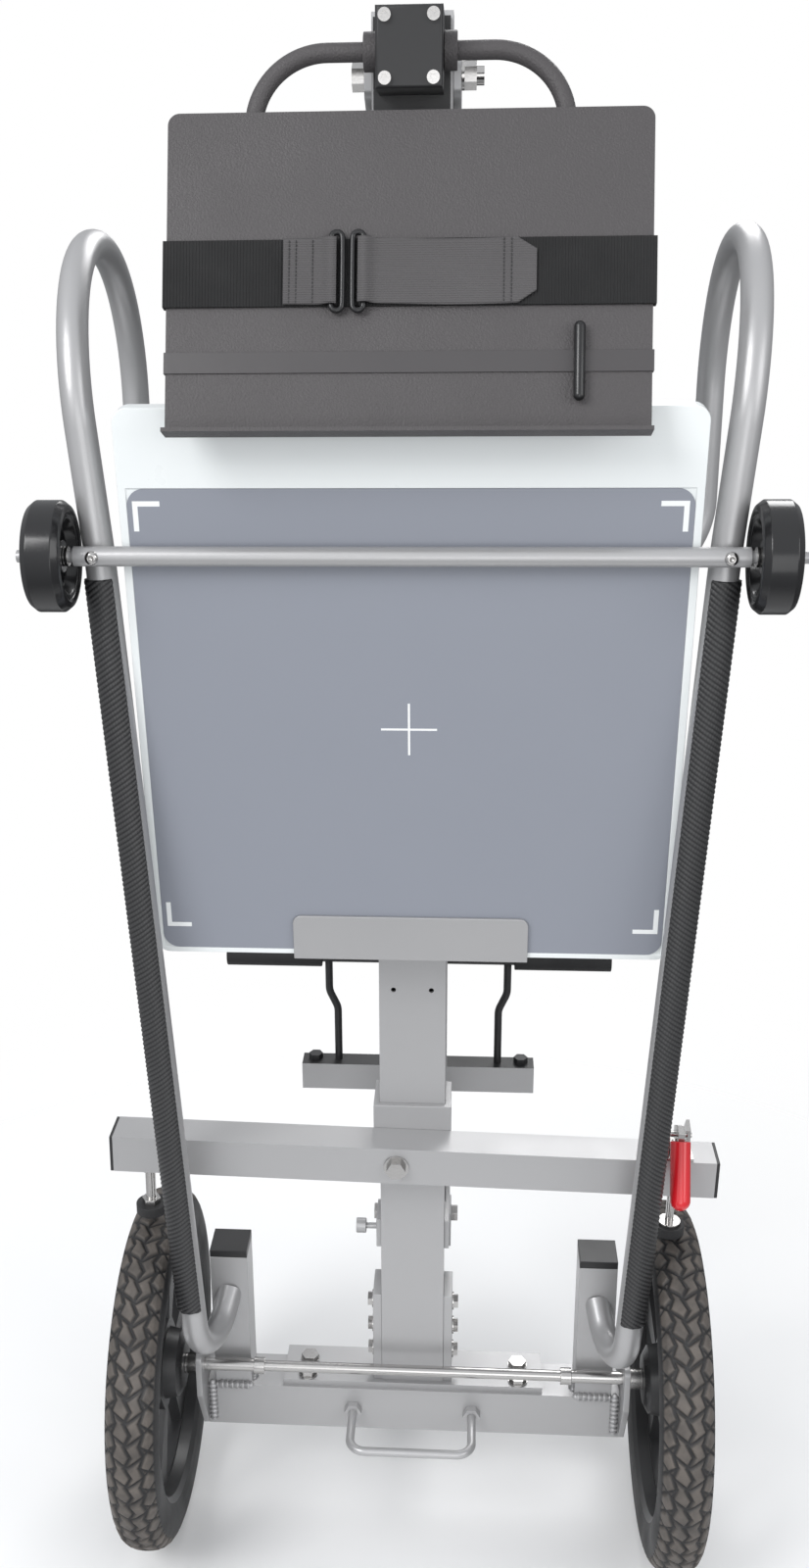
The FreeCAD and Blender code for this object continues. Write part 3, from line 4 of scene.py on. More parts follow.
import bmesh
import bpy
import numpy as np
from mathutils import Matrix, Vector


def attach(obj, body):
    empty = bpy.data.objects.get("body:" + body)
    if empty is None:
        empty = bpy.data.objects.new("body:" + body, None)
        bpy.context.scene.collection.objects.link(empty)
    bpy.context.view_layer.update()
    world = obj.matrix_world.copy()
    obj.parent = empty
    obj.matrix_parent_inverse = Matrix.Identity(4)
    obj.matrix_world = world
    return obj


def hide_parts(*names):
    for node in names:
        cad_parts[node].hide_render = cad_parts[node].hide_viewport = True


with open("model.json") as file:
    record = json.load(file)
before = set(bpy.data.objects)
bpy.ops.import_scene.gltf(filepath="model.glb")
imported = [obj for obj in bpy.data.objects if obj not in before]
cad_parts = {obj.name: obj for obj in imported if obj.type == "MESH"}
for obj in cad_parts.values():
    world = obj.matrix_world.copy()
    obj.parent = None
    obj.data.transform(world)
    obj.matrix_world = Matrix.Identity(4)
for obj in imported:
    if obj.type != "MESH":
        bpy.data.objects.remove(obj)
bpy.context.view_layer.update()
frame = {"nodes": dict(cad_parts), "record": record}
scene = bpy.context.scene
scene.view_settings.view_transform = "Standard"

# Camera. It stands at the operator's side, above the tray, and looks down at the stand.
# Its place, turn and lens come from matching the photo's known sizes.
camera = bpy.data.objects.new("camera", bpy.data.cameras.new("camera"))
scene.collection.objects.link(camera)
scene.camera = camera
yaw, pitch, roll = -0.0695, 0.3464, 0.0117
forward = Vector((math.sin(yaw) * math.cos(pitch), math.cos(yaw) * math.cos(pitch), -math.sin(pitch)))
level = Vector((math.cos(yaw), -math.sin(yaw), 0))
down = forward.cross(level)
right = level * math.cos(roll) + down * math.sin(roll)
up = level * math.sin(roll) - down * math.cos(roll)
turned_so = Matrix((right, up, -forward)).transposed().to_4x4()
camera.matrix_world = Matrix.Translation((0.0471, -1.3502, 1.26819)) @ turned_so
picture_wide, picture_tall = 826, 1600
focal, axis_x, axis_y = 1594.04, 369.7, 825.67    # in pixels of the photo
camera.data.sensor_width = 36
camera.data.lens = focal / picture_tall * 36
camera.data.shift_x = (picture_wide / 2 - axis_x) / picture_tall
camera.data.shift_y = (axis_y - picture_tall / 2) / picture_tall
camera.data.clip_start = 0.01
camera.data.clip_end = 60


# Light. A white backdrop for the camera, and for everything else a soft room that is brighter above.
# One broad light stands at the upper left, with weaker ones at the right, behind and in front.
room = bpy.data.worlds.new("room")
scene.world = room
room.use_nodes = True
tree = room.node_tree
tree.nodes.clear()
rays = tree.nodes.new("ShaderNodeLightPath")
seen = tree.nodes.new("ShaderNodeBackground")
seen.inputs["Color"].default_value = (1, 1, 1, 1)
seen.inputs["Strength"].default_value = 1.0
soft = tree.nodes.new("ShaderNodeBackground")
soft.inputs["Color"].default_value = (0.95, 0.97, 1, 1)
ray = tree.nodes.new("ShaderNodeNewGeometry")
facing = tree.nodes.new("ShaderNodeVectorMath")
facing.operation = "DOT_PRODUCT"
facing.inputs[1].default_value = (0.15, 0.45, -0.8)
level_of = tree.nodes.new("ShaderNodeMapRange")
level_of.inputs["From Min"].default_value = -0.75
level_of.inputs["From Max"].default_value = 0.75
level_of.inputs["To Min"].default_value = 0.12
level_of.inputs["To Max"].default_value = 0.95
tree.links.new(ray.outputs["Incoming"], facing.inputs[0])
tree.links.new(facing.outputs["Value"], level_of.inputs["Value"])
tree.links.new(level_of.outputs["Result"], soft.inputs["Strength"])
chosen = tree.nodes.new("ShaderNodeMixShader")
world_out = tree.nodes.new("ShaderNodeOutputWorld")
tree.links.new(rays.outputs["Is Camera Ray"], chosen.inputs[0])
tree.links.new(soft.outputs[0], chosen.inputs[1])
tree.links.new(seen.outputs[0], chosen.inputs[2])
tree.links.new(chosen.outputs[0], world_out.inputs["Surface"])


def lamp(name, place, target, size, power):
    """A square soft light that faces a point."""
    light = bpy.data.objects.new(name, bpy.data.lights.new(name, "AREA"))
    light.data.shape = "SQUARE"
    light.data.size = size
    light.data.energy = power
    light.location = place
    light.rotation_mode = "QUATERNION"
    light.rotation_quaternion = (Vector(place) - Vector(target)).to_track_quat("Z", "Y")
    scene.collection.objects.link(light)


lamp("key", (-1.7, -2.1, 2.7), (0, 0, 0.7), 1.3, 50)
lamp("fill", (2.3, -1.7, 1.9), (0, 0, 0.6), 1.6, 20)
lamp("rim", (0.5, 2.2, 2.6), (0, 0, 0.8), 1.2, 26)
lamp("front", (0.3, -2.7, 0.95), (0, 0, 0.8), 1.5, 11)

# Floor. A pale floor that fades into the backdrop away from the stand.
# It isn't part of the object.
floor_mesh = bpy.data.meshes.new("floor")
floor_mesh.from_pydata([(-5, -5, 0), (5, -5, 0), (5, 5, 0), (-5, 5, 0)], [], [(0, 1, 2, 3)])
floor = bpy.data.objects.new("floor", floor_mesh)
scene.collection.objects.link(floor)
floor_look = bpy.data.materials.new("floor")
floor_look.use_nodes = True
tree = floor_look.node_tree
tree.nodes.clear()
floor_out = tree.nodes.new("ShaderNodeOutputMaterial")
pale = tree.nodes.new("ShaderNodeBsdfDiffuse")
pale.inputs["Color"].default_value = (0.86, 0.86, 0.86, 1)
clear = tree.nodes.new("ShaderNodeBsdfTransparent")
fade = tree.nodes.new("ShaderNodeMixShader")
where = tree.nodes.new("ShaderNodeTexCoord")
far = tree.nodes.new("ShaderNodeVectorMath")
far.operation = "LENGTH"
ease = tree.nodes.new("ShaderNodeMapRange")
ease.interpolation_type = "SMOOTHSTEP"
ease.inputs["From Min"].default_value = 0.35
ease.inputs["From Max"].default_value = 1.3
tree.links.new(where.outputs["Object"], far.inputs[0])
tree.links.new(far.outputs["Value"], ease.inputs["Value"])
tree.links.new(ease.outputs["Result"], fade.inputs[0])
tree.links.new(pale.outputs[0], fade.inputs[1])
tree.links.new(clear.outputs[0], fade.inputs[2])
tree.links.new(fade.outputs[0], floor_out.inputs["Surface"])
floor_mesh.materials.append(floor_look)


# Base, posts and mast. Welded and bolted steel in satin silver paint.
# The pieces keep the CAD shapes, with their edges softly broken.
def look(name, colour, rough, metal=0.0, grain=700.0, relief=0.05, wear=0.1, coat=0.0):
    """A painted or moulded finish: a fine noise is its relief, and a broad noise makes patches of it
    a little duller or glossier than its own roughness."""
    material = bpy.data.materials.new(name)
    material.use_nodes = True
    nodes, links = material.node_tree.nodes, material.node_tree.links
    shader = nodes["Principled BSDF"]
    shader.inputs["Base Color"].default_value = (*colour, 1)
    shader.inputs["Metallic"].default_value = metal
    shader.inputs["Coat Weight"].default_value = coat
    shader.inputs["Coat Roughness"].default_value = 0.12
    place = nodes.new("ShaderNodeTexCoord")
    fine = nodes.new("ShaderNodeTexNoise")
    fine.inputs["Scale"].default_value = grain
    fine.inputs["Detail"].default_value = 3
    bump = nodes.new("ShaderNodeBump")
    bump.inputs["Strength"].default_value = relief
    bump.inputs["Distance"].default_value = 0.001
    patches = nodes.new("ShaderNodeTexNoise")
    patches.inputs["Scale"].default_value = 17
    patches.inputs["Detail"].default_value = 5
    dull = nodes.new("ShaderNodeMapRange")
    dull.inputs["From Min"].default_value = 0.3
    dull.inputs["From Max"].default_value = 0.7
    dull.inputs["To Min"].default_value = rough * (1 - wear)
    dull.inputs["To Max"].default_value = rough * (1 + wear)
    links.new(place.outputs["Object"], fine.inputs["Vector"])
    links.new(place.outputs["Object"], patches.inputs["Vector"])
    links.new(fine.outputs["Fac"], bump.inputs["Height"])
    links.new(bump.outputs["Normal"], shader.inputs["Normal"])
    links.new(patches.outputs["Fac"], dull.inputs["Value"])
    links.new(dull.outputs["Result"], shader.inputs["Roughness"])
    return material


home = {node: body for body, nodes in frame["record"]["behaviour"]["bodies"].items() for node in nodes}


def dress(node, finish, crisp=0.0006, flat=0.6):
    """A piece with the shape of a CAD node: its doubled points are merged, the facets of each flat face
    are joined, and each sharp edge gets a small round bevel."""
    mesh = frame["nodes"][node].data.copy()
    mesh.name = node + "_look"
    if "custom_normal" in mesh.attributes:
        mesh.attributes.remove(mesh.attributes["custom_normal"])
    shape = bmesh.new()
    shape.from_mesh(mesh)
    bmesh.ops.remove_doubles(shape, verts=shape.verts, dist=2e-6)
    bmesh.ops.dissolve_limit(shape, angle_limit=math.radians(flat), verts=shape.verts, edges=shape.edges)
    shape.to_mesh(mesh)
    shape.free()
    mesh.materials.clear()
    mesh.materials.append(finish)
    mesh.shade_smooth()
    piece = bpy.data.objects.new(node + "_look", mesh)
    scene.collection.objects.link(piece)
    edges = piece.modifiers.new("Edges", "BEVEL")
    edges.width = crisp
    edges.segments = 2
    edges.limit_method = "ANGLE"
    edges.angle_limit = math.radians(35)
    normals = piece.modifiers.new("Normals", "WEIGHTED_NORMAL")
    normals.keep_sharp = False
    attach(piece, home[node])
    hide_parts(node)
    return piece


silver = look("silver_paint", (0.43, 0.428, 0.432), 0.37, metal=0.5, grain=900, relief=0.06)
for node in ("base_beam", "axle_cheeks", "posts", "deck_plate", "mast", "mast_foot", "pivot_sleeve",
             "detector_bracket", "arm_latch", "front_leg"):
    dress(node, silver)


# Weld beads. They join the posts to the base beam and the axle's cheeks to the beam's ends.
# Each is a row of overlapping ripples of silver-painted weld.
def bead(name, start, end, radius, pitch=0.0054):
    """A weld bead along a straight line: a circle at each step, whose radius starts full at each ripple and
    shrinks by a power of the way along it, and follows a square root at both ends."""
    start, end = np.array(start, float), np.array(end, float)
    long = np.linalg.norm(end - start)
    ahead = (end - start) / long
    any_other_way = (0.577, 0.577, 0.577)
    side = np.cross(ahead, any_other_way)
    side /= np.linalg.norm(side)
    other = np.cross(ahead, side)
    along = np.linspace(0, long, int(long / 0.0005) + 2)
    ripple_deep = 0.45
    ripple = 1 - ripple_deep * ((along / pitch) % 1) ** 1.6
    ends = np.sqrt(np.clip(np.minimum(along, long - along) / radius, 0.02, 1))
    turn = np.linspace(0, 2 * math.pi, 14, endpoint=False)
    ring = np.cos(turn)[:, None] * side + np.sin(turn)[:, None] * other
    middle = start + along[:, None] * ahead
    points = middle[:, None, :] + (radius * ripple * ends)[:, None, None] * ring[None]
    return skin(name, points, wrap_cols=True)


def skin(name, points, wrap_rows=False, wrap_cols=False):
    """A smooth piece over a grid of points: each cell of the grid, from a point to the next in its row and
    in its column, is one face, and the last row or column may join the first."""
    rows, cols = points.shape[:2]
    r, c = np.meshgrid(np.arange(rows if wrap_rows else rows - 1),
                       np.arange(cols if wrap_cols else cols - 1), indexing="ij")
    below, beside = (r + 1) % rows, (c + 1) % cols
    faces = np.stack([r * cols + c, below * cols + c, below * cols + beside, r * cols + beside], axis=-1)
    mesh = bpy.data.meshes.new(name)
    mesh.from_pydata(points.reshape(-1, 3).tolist(), [], faces.reshape(-1, 4).tolist())
    mesh.shade_smooth()
    piece = bpy.data.objects.new(name, mesh)
    scene.collection.objects.link(piece)
    return piece


def finished(piece, finish, body, slot, *nodes):
    """Gives a piece its material, its body and the CAD nodes that it replaces; the slot argument is not
    used.
    """
    piece.data.materials.clear()
    piece.data.materials.append(finish)
    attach(piece, body)
    if nodes:
        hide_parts(*nodes)
    return piece


weld_radius, weld_y = 0.0047, -0.0255    # on the beam's operator side
for name, s in (("left", -1), ("right", 1)):
    for part, start, end in (
            ("front", (s * 0.166, weld_y, 0.1455), (s * 0.207, weld_y, 0.1455)),
            ("upright", (s * 0.2095, weld_y, 0.151), (s * 0.2095, weld_y, 0.098)),
            ("inner", (s * 0.1672, -0.016, 0.1442), (s * 0.1672, 0.012, 0.1442))):
        weld = bead(f"weld_{part}_{name}", start, end, weld_radius)
        finished(weld, silver, "frame", "silver_paint")

# Rails, cross tube and pull handle. Bent tube and rod in the same satin silver paint,
# bolted and welded to the posts and the mast.
for node in ("rail_left", "rail_right", "cross_tube", "pull_handle"):
    dress(node, silver, crisp=0.0004)


# Skid sleeves. Black rubber half sleeves with fine diagonal ribs, pressed on the rails' operator side
# so that the stand can slide up steps. Their radius is a wave along the rib's slant, cut short by a second.
skid = look("skid_rubber", (0.02, 0.02, 0.021), 0.42, grain=1400, relief=0.06)
nodes, links = skid.node_tree.nodes, skid.node_tree.links
# The sleeve's colour carries painted light: the raised rib tops are painted lighter as a painted highlight,
# and the grooves between them darker as painted shade.
high = nodes.new("ShaderNodeAttribute")
high.attribute_name = "rib"
painted_rib_light = nodes.new("ShaderNodeMix")
painted_rib_light.data_type = "RGBA"
painted_rib_light.inputs["A"].default_value = (0.008, 0.008, 0.009, 1)
painted_rib_light.inputs["B"].default_value = (0.045, 0.045, 0.046, 1)
links.new(high.outputs["Fac"], painted_rib_light.inputs["Factor"])
links.new(painted_rib_light.outputs["Result"], nodes["Principled BSDF"].inputs["Base Color"])
sleeve_foot, sleeve_top = 0.301, 1.015
half_span, turned_out = 92, 44    # degrees round the rail
rail_foot_x, rail_foot_z, rail_y = 0.2052, 0.1959, -0.1
splay_x, splay_z = 0.0468, 0.8401    # the rail leans outward by this much over this height
round_rail = 0.0153    # the radius that the ribs' lean is measured at
sleeve_radius, edge_radius, rib_high = 0.01465, 0.0129, 0.00065
aside_x, aside_z = 0.99845, 0.0557    # the sideways direction, square to the leaned rail
rib_pitch, weave_pitch = 0.0046, 0.0092    # up the rail
rib_slant, weave_slant = 0.008, 0.0029    # round the rail, for one pitch up it
for s in (-1, 1):
    height = np.linspace(sleeve_foot, sleeve_top, 1100)
    turn = np.radians(np.linspace(-half_span, half_span, 61) + turned_out * s)
    rail_x = s * (rail_foot_x + (height - rail_foot_z) * splay_x / splay_z)
    middle = np.stack([rail_x, np.full_like(height, rail_y), height], axis=-1)
    aside = np.array([aside_x, 0, -s * aside_z])
    rib = (height[:, None] / rib_pitch + s * turn[None] * round_rail / rib_slant) % 1
    weave = (height[:, None] / weave_pitch - s * turn[None] * round_rail / weave_slant) % 1
    raised = np.clip(1.7 * np.sin(math.pi * rib) - 0.5, 0, 1) * (0.45 + 0.55 * np.sin(math.pi * weave))
    radius = sleeve_radius + rib_high * raised
    radius[:, [0, -1]] = edge_radius
    radius[[0, -1], :] = edge_radius
    ring = np.sin(turn)[:, None] * aside + np.cos(turn)[:, None] * np.array([0, -1.0, 0])
    sleeve = skin("skid_sleeve_left" if s < 0 else "skid_sleeve_right",
                  middle[:, None, :] + radius[:, :, None] * ring[None])
    values = raised.astype(np.float32).ravel()
    sleeve.data.attributes.new("rib", "FLOAT", "POINT").data.foreach_set("value", values)
    finished(sleeve, skid, "frame", "skid_rubber", "skid_sleeves")

# Tyres. Black rubber with chevron tread blocks, whose tops are worn brownish grey.
# They sit on the rims' beads. A point's depth in the tread follows from its distance to the nearest
# groove line, made steep at the blocks' edges.
tyre_look = look("tyre_rubber", (0.02, 0.02, 0.021), 0.62, grain=500, relief=0.25, wear=0.2)
nodes, links = tyre_look.node_tree.nodes, tyre_look.node_tree.links
worn = nodes.new("ShaderNodeAttribute")
worn.attribute_name = "worn"
tint = nodes.new("ShaderNodeMix")
tint.data_type = "RGBA"
tint.inputs["A"].default_value = (0.017, 0.017, 0.018, 1)
tint.inputs["B"].default_value = (0.115, 0.1, 0.088, 1)
scuffs = nodes.new("ShaderNodeTexNoise")
scuffs.inputs["Scale"].default_value = 60
scuffs.inputs["Detail"].default_value = 5
amount = nodes.new("ShaderNodeMath")
amount.operation = "MULTIPLY"
strength = nodes.new("ShaderNodeMapRange")
strength.inputs["From Min"].default_value = 0.3
strength.inputs["From Max"].default_value = 0.65
strength.inputs["To Min"].default_value = 0.45
place = nodes.new("ShaderNodeTexCoord")
links.new(place.outputs["Object"], scuffs.inputs["Vector"])
links.new(scuffs.outputs["Fac"], strength.inputs["Value"])
links.new(worn.outputs["Fac"], amount.inputs[0])
links.new(strength.outputs["Result"], amount.inputs[1])
links.new(amount.outputs[0], tint.inputs["Factor"])
links.new(tint.outputs["Result"], nodes["Principled BSDF"].inputs["Base Color"])
half_profile = np.array([(22, 134), (24.2, 143), (25, 151), (24.8, 157), (24, 162), (22, 167.5),
                         (19, 172), (15.5, 174.8), (12, 176.5), (6, 177.6), (0, 178)]) / 1000
profile = np.vstack([half_profile * (-1, 1), half_profile[-2::-1]])
step = np.concatenate([[0], np.cumsum(np.linalg.norm(np.diff(profile, axis=0), axis=1))])
fine = np.linspace(0, step[-1], 110)
offset, tall = np.interp(fine, step, profile[:, 0]), np.interp(fine, step, profile[:, 1])
tread_half = 0.028    # from the tread's middle to its edge, over the crown
across = (fine - step[-1] / 2) / tread_half
block_rows = 51
around = np.linspace(0, 1, 1020, endpoint=False)[:, None] * block_rows
zigzag = np.abs((around % 1) - 0.5) * 2
off = np.abs(across[None])
slant, stagger = 0.9, 0.35    # of the grooves that cross the tread
cross_long, cross_narrow = 0.55, 0.02    # a cross groove's width against that of one round the tyre
middle_bend, side_place, side_bend = 0.22, 0.5, 0.16    # the zigzag grooves round the tyre
shoulder = np.abs(((around - slant * off + stagger) % 1) - 0.5) * cross_long + cross_narrow
distance = np.minimum.reduce([
    np.abs(across[None] - middle_bend * (zigzag - 0.5)),
    np.abs(off - side_place - side_bend * (zigzag - 0.5)),
    np.abs(((around + slant * off) % 1) - 0.5) * cross_long + cross_narrow,
    np.where(off > 0.42, shoulder, 1)])
crown = np.clip((1.04 - np.abs(across)) / 0.1, 0, 1)[None]
groove_half, groove_wall, groove_deep = 0.045, 0.05, 0.0026
block = np.clip((distance - groove_half) / groove_wall, 0, 1)
sunk = groove_deep * (1 - block) * crown
wheel_x, wheel_y, wheel_z = 0.259, -0.034, 0.178
for name, s in (("left", -1), ("right", 1)):
    spin = around / block_rows * 2 * math.pi
    radius = tall[None] - sunk
    points = np.stack([s * wheel_x + np.broadcast_to(offset[None], radius.shape) * (1 - sunk / 0.06),
                       wheel_y + radius * np.cos(spin), wheel_z + radius * np.sin(spin)], axis=-1)
    tyre = skin(f"tyre_look_{name}", points, wrap_rows=True)
    values = np.broadcast_to(block * crown, radius.shape).astype(np.float32).ravel()
    tyre.data.attributes.new("worn", "FLOAT", "POINT").data.foreach_set("value", values)
    finished(tyre, tyre_look, f"wheel_{name}", "tyre_rubber", f"tyre_{name}")

# Rims, caps and plugs. Moulded black plastic: the rims turn on the axle, and the caps and plugs close
# the tube ends.
plastic = look("black_plastic", (0.017, 0.017, 0.018), 0.4, grain=800, relief=0.06)
for node in ("wheel_rim_left", "wheel_rim_right", "post_caps", "brake_bar_plugs", "clamp_base",
             "clamp_cover"):
    dress(node, plastic)
gloss = look("small_wheel_plastic", (0.012, 0.012, 0.013), 0.2, grain=300, relief=0.03)
for node in ("small_rim_left", "small_rim_right", "small_tyre_left", "small_tyre_right", "caster_wheel"):
    dress(node, gloss)

# Axle, bolts and nuts. Plain bright steel, turned or zinc plated.
# The toggle clamp's metal, the brake's threaded stud, the caster's fork and the elbow pin have
# the same finish.
steel = look("bright_steel", (0.5, 0.49, 0.48), 0.2, metal=1.0, grain=500, relief=0.03, wear=0.3)
for node in ("axle", "axle_hardware", "deck_bolts", "mast_foot_bolts", "mast_bolts", "small_wheel_nuts",
             "clamp_screws", "caster_fork", "brake_stud", "toggle_base", "toggle_lever", "brake_plunger",
             "elbow_pin"):
    dress(node, steel, crisp=0.0004)


# Button head screws. They hold the cross tube to the rails, one at each end.
# Their heads face the operator.
def turned(name, profile, centre, axis, sides=40):
    """A piece turned about an axis through a point: each profile row is a radius and a height, and makes a
    circle of that radius at that height."""
    axis = np.array(axis, float) / np.linalg.norm(axis)
    side = np.cross(axis, (0, 0, 1.0))
    side /= np.linalg.norm(side)
    other = np.cross(axis, side)
    turn = np.linspace(0, 2 * math.pi, sides, endpoint=False)
    ring = np.cos(turn)[:, None] * side + np.sin(turn)[:, None] * other
    rows = np.array(profile, float)
    wide, high = rows[:, 0][:, None, None], rows[:, 1][:, None, None]
    points = np.array(centre, float) + high * axis + wide * ring[None]
    return skin(name, points, wrap_cols=True)


screw_x, screw_y, screw_z = 0.252, -0.1285, 1.036
head_profile = [(0.0055, -0.001), (0.0055, 0.0005), (0.0048, 0.0019), (0.0034, 0.0028), (0.0024, 0.003),
                (0.0022, 0.0029), (0.0022, 0.0008), (0.00001, 0.0007)]
for name, s in (("left", -1), ("right", 1)):
    screw = turned(f"cross_screw_{name}", head_profile, (s * screw_x, screw_y, screw_z), (0, -1, 0))
    finished(screw, steel, "frame", "bright_steel")

# Brake bar. A square tube in silver paint that rocks on the mast bolt, with a rubber foot and pad
# over the tyres.
dress("brake_bar", silver)
rubber = look("pad_rubber", (0.02, 0.02, 0.021), 0.6, grain=500, relief=0.1)
for node in ("brake_foot", "brake_pad"):
    dress(node, rubber)

# Toggle grip. Dipped red vinyl over the steel lever's end.
# The dip leaves it glossy and faintly uneven.
vinyl = look("red_vinyl", (0.62, 0.012, 0.02), 0.22, grain=90, relief=0.05, coat=0.5)
dress("toggle_grip", vinyl)


# Detector. A white plastic shell with a grey-blue face that has rounded corners, printed corner marks and
# a cross. It stands in the trough and leans on the cross tube.
def plate(name, outline, origin, along, outward, low, high):
    """A flat piece: its outline is copied at two heights off a leaned plane, and walls join the copies."""
    flat = np.array(outline, float)
    count = len(flat)
    base = np.array(origin, float) + flat[:, :1] * np.array((1.0, 0, 0)) + flat[:, 1:] * np.array(along)
    points = np.vstack([base + low * np.array(outward), base + high * np.array(outward)])
    ring = np.arange(count)
    after = (ring + 1) % count
    sides = np.stack([ring, after, after + count, ring + count], axis=-1).tolist()
    mesh = bpy.data.meshes.new(name)
    mesh.from_pydata(points.tolist(), [], [ring[::-1].tolist(), (ring + count).tolist()] + sides)
    piece = bpy.data.objects.new(name, mesh)
    scene.collection.objects.link(piece)
    return piece


def round_corners(left, right, low, high, radius, steps=10):
    """The outline of a rectangle whose corners are quarter circles."""
    arc = np.linspace(0, math.pi / 2, steps)
    corners = [(right - radius, high - radius, 0), (left + radius, high - radius, 1),
               (left + radius, low + radius, 2), (right - radius, low + radius, 3)]
    rounds = []
    for x, z, k in corners:
        turn = arc + k * math.pi / 2
        rounds.append(np.stack([x + radius * np.cos(turn), z + radius * np.sin(turn)], axis=-1))
    return np.vstack(rounds)


lean_back, lean_up = 0.0424, 0.371    # from the trough's foot to the cross tube
lean = math.atan2(lean_back, lean_up)
panel_along = (0, -math.sin(lean), math.cos(lean))
panel_out = (0, -math.cos(lean), -math.sin(lean))
panel_foot = (0, -0.07, 0.665)
white = look("panel_white", (0.8, 0.83, 0.83), 0.3, grain=1500, relief=0.02)
dress("detector_shell", white)
grey = look("panel_grey", (0.25, 0.265, 0.305), 0.36, grain=1800, relief=0.03)
face_half, face_foot, face_head = 0.2233, 0.0052, 0.4268
face_outline = round_corners(-face_half, face_half, face_foot, face_head, 0.014)
face = plate("detector_face_look", face_outline, panel_foot, panel_along, panel_out, -0.0012, 0)
finished(face, grey, "detector", "panel_grey", "detector_face")
print_white = look("mark_print", (0.86, 0.88, 0.88), 0.35, relief=0.0)
strokes = []
mark_out, mark_long, mark_wide = 0.219, 0.022, 0.0042
for sx in (-1, 1):
    for corner, sz in ((0.0270, 1), (0.417, -1)):
        strokes.append((f"{sx}{sz}_level", sorted((sx * mark_out, sx * (mark_out - mark_long))),
                        sorted((corner, corner + sz * mark_wide))))
        strokes.append((f"{sx}{sz}_upright", sorted((sx * mark_out, sx * (mark_out - mark_wide))),
                        sorted((corner + sz * mark_wide, corner + sz * 0.0245))))
strokes.append(("cross_level", (-0.0235, 0.0235), (0.2211, 0.2229)))
strokes.append(("cross_upright", (-0.0009, 0.0009), (0.1985, 0.2455)))
for part, (x0, x1), (z0, z1) in strokes:
    high = 0.00016 if part != "cross_upright" else 0.0002
    mark = plate(f"mark_{part}", [(x0, z0), (x1, z0), (x1, z1), (x0, z1)], panel_foot, panel_along,
                 panel_out, 0.00002, high)
    finished(mark, print_white, "detector", "panel_white")

# Laptop tray. Folded sheet in charcoal textured powder coat.
# It is clamped to the bow tube, which has the same coat.
coat = look("tray_coat", (0.066, 0.061, 0.063), 0.52, grain=620, relief=0.7)
for node in ("laptop_tray", "tray_tube", "clamp_collars"):
    dress(node, coat)

# Tray strap. Black ribbed elastic round the tray, with a grey hook and loop strip sewn to it: the strip runs
# through the buckle and folds back on itself, and its end has cut corners.
tilt = math.radians(19.6)
tray_along = (0, math.sin(tilt), math.cos(tilt))
tray_out = (0, -math.cos(tilt), math.sin(tilt))
tray_foot = (0, -0.159, 1.134)
strap_up = 0.1215    # the strap's middle, up the tray from its foot


def ribbed(name, colour, rough, ribs, period, relief, grain):
    """A woven finish: its relief is a wave that repeats along one axis and is bent a little by noise."""
    material = look(name, colour, rough, grain=grain, relief=0.12, wear=0.15)
    nodes, links = material.node_tree.nodes, material.node_tree.links
    place = nodes.new("ShaderNodeTexCoord")
    wave = nodes.new("ShaderNodeTexWave")
    wave.bands_direction = ribs
    wave.inputs["Scale"].default_value = 2 * math.pi / 20 / period
    wave.inputs["Distortion"].default_value = 0.6
    wave.inputs["Detail Scale"].default_value = 40
    raised = nodes.new("ShaderNodeBump")
    raised.inputs["Strength"].default_value = relief
    raised.inputs["Distance"].default_value = 0.001
    links.new(place.outputs["Object"], wave.inputs["Vector"])
    links.new(wave.outputs["Fac"], raised.inputs["Height"])
    grainy = nodes["Bump"]
    links.new(raised.outputs["Normal"], grainy.inputs["Normal"])
    return material


elastic = ribbed("strap_elastic", (0.0095, 0.0095, 0.01), 0.75, ribs="X", period=0.0024, relief=0.9,
                 grain=900)
dress("tray_strap", elastic, crisp=0.0003)
web = ribbed("strap_web", (0.088, 0.084, 0.086), 0.8, ribs="Z", period=0.0016, relief=0.5, grain=1100)


def on_tray(x, up, out):
    """Points on the tray: its foot, plus a way across, a way up along its face and a height off it."""
    x, up, out = np.broadcast_arrays(x, up, out)
    return (np.array(tray_foot) + x[..., None] * np.array((1.0, 0, 0)) + up[..., None] * np.array(tray_along)
            + out[..., None] * np.array(tray_out))


def strip(name, start, end, half_wide, low, thick, over, cut=0.0, seed=1):
    """A strip of webbing on the tray: its height is a small wave, a sine along times a cosine across, plus a
    bell-shaped rise over the slider's bar, and its middle wanders by a slow sine."""
    corner_cut, wave_high, wander = 0.009, 0.0005, 0.0007
    rise_high, rise_long = 0.0055, 0.0066
    x = np.linspace(start, end, 190)
    v = np.linspace(-1, 1, 25)
    wide = half_wide - np.where(cut > 0, corner_cut * np.clip((x - (end - cut)) / max(cut, 1e-6), 0, 1), 0)
    phase = np.random.default_rng(seed).uniform(0, 6.28, 3)
    wave = (0.5 + 0.5 * np.sin(x[:, None] * 62 + phase[0]) * np.cos(v[None] * 1.6 + phase[1])) * wave_high
    wave = wave + rise_high * np.exp(-((x[:, None] - over) / rise_long) ** 2)
    tall = strap_up + v[None] * wide[:, None] + wander * np.sin(x[:, None] * 38 + phase[2])
    lifts = [low + wave, low + wave + thick]
    sheets = [on_tray(x[:, None], tall, lift) for lift in lifts]
    loop = np.concatenate([sheets[1], sheets[0][:, ::-1]], axis=1)
    closed = np.concatenate([loop.mean(axis=1, keepdims=True)[:1].repeat(loop.shape[1], axis=1), loop,
                             loop.mean(axis=1, keepdims=True)[-1:].repeat(loop.shape[1], axis=1)], axis=0)
    return skin(name, closed, wrap_cols=True)


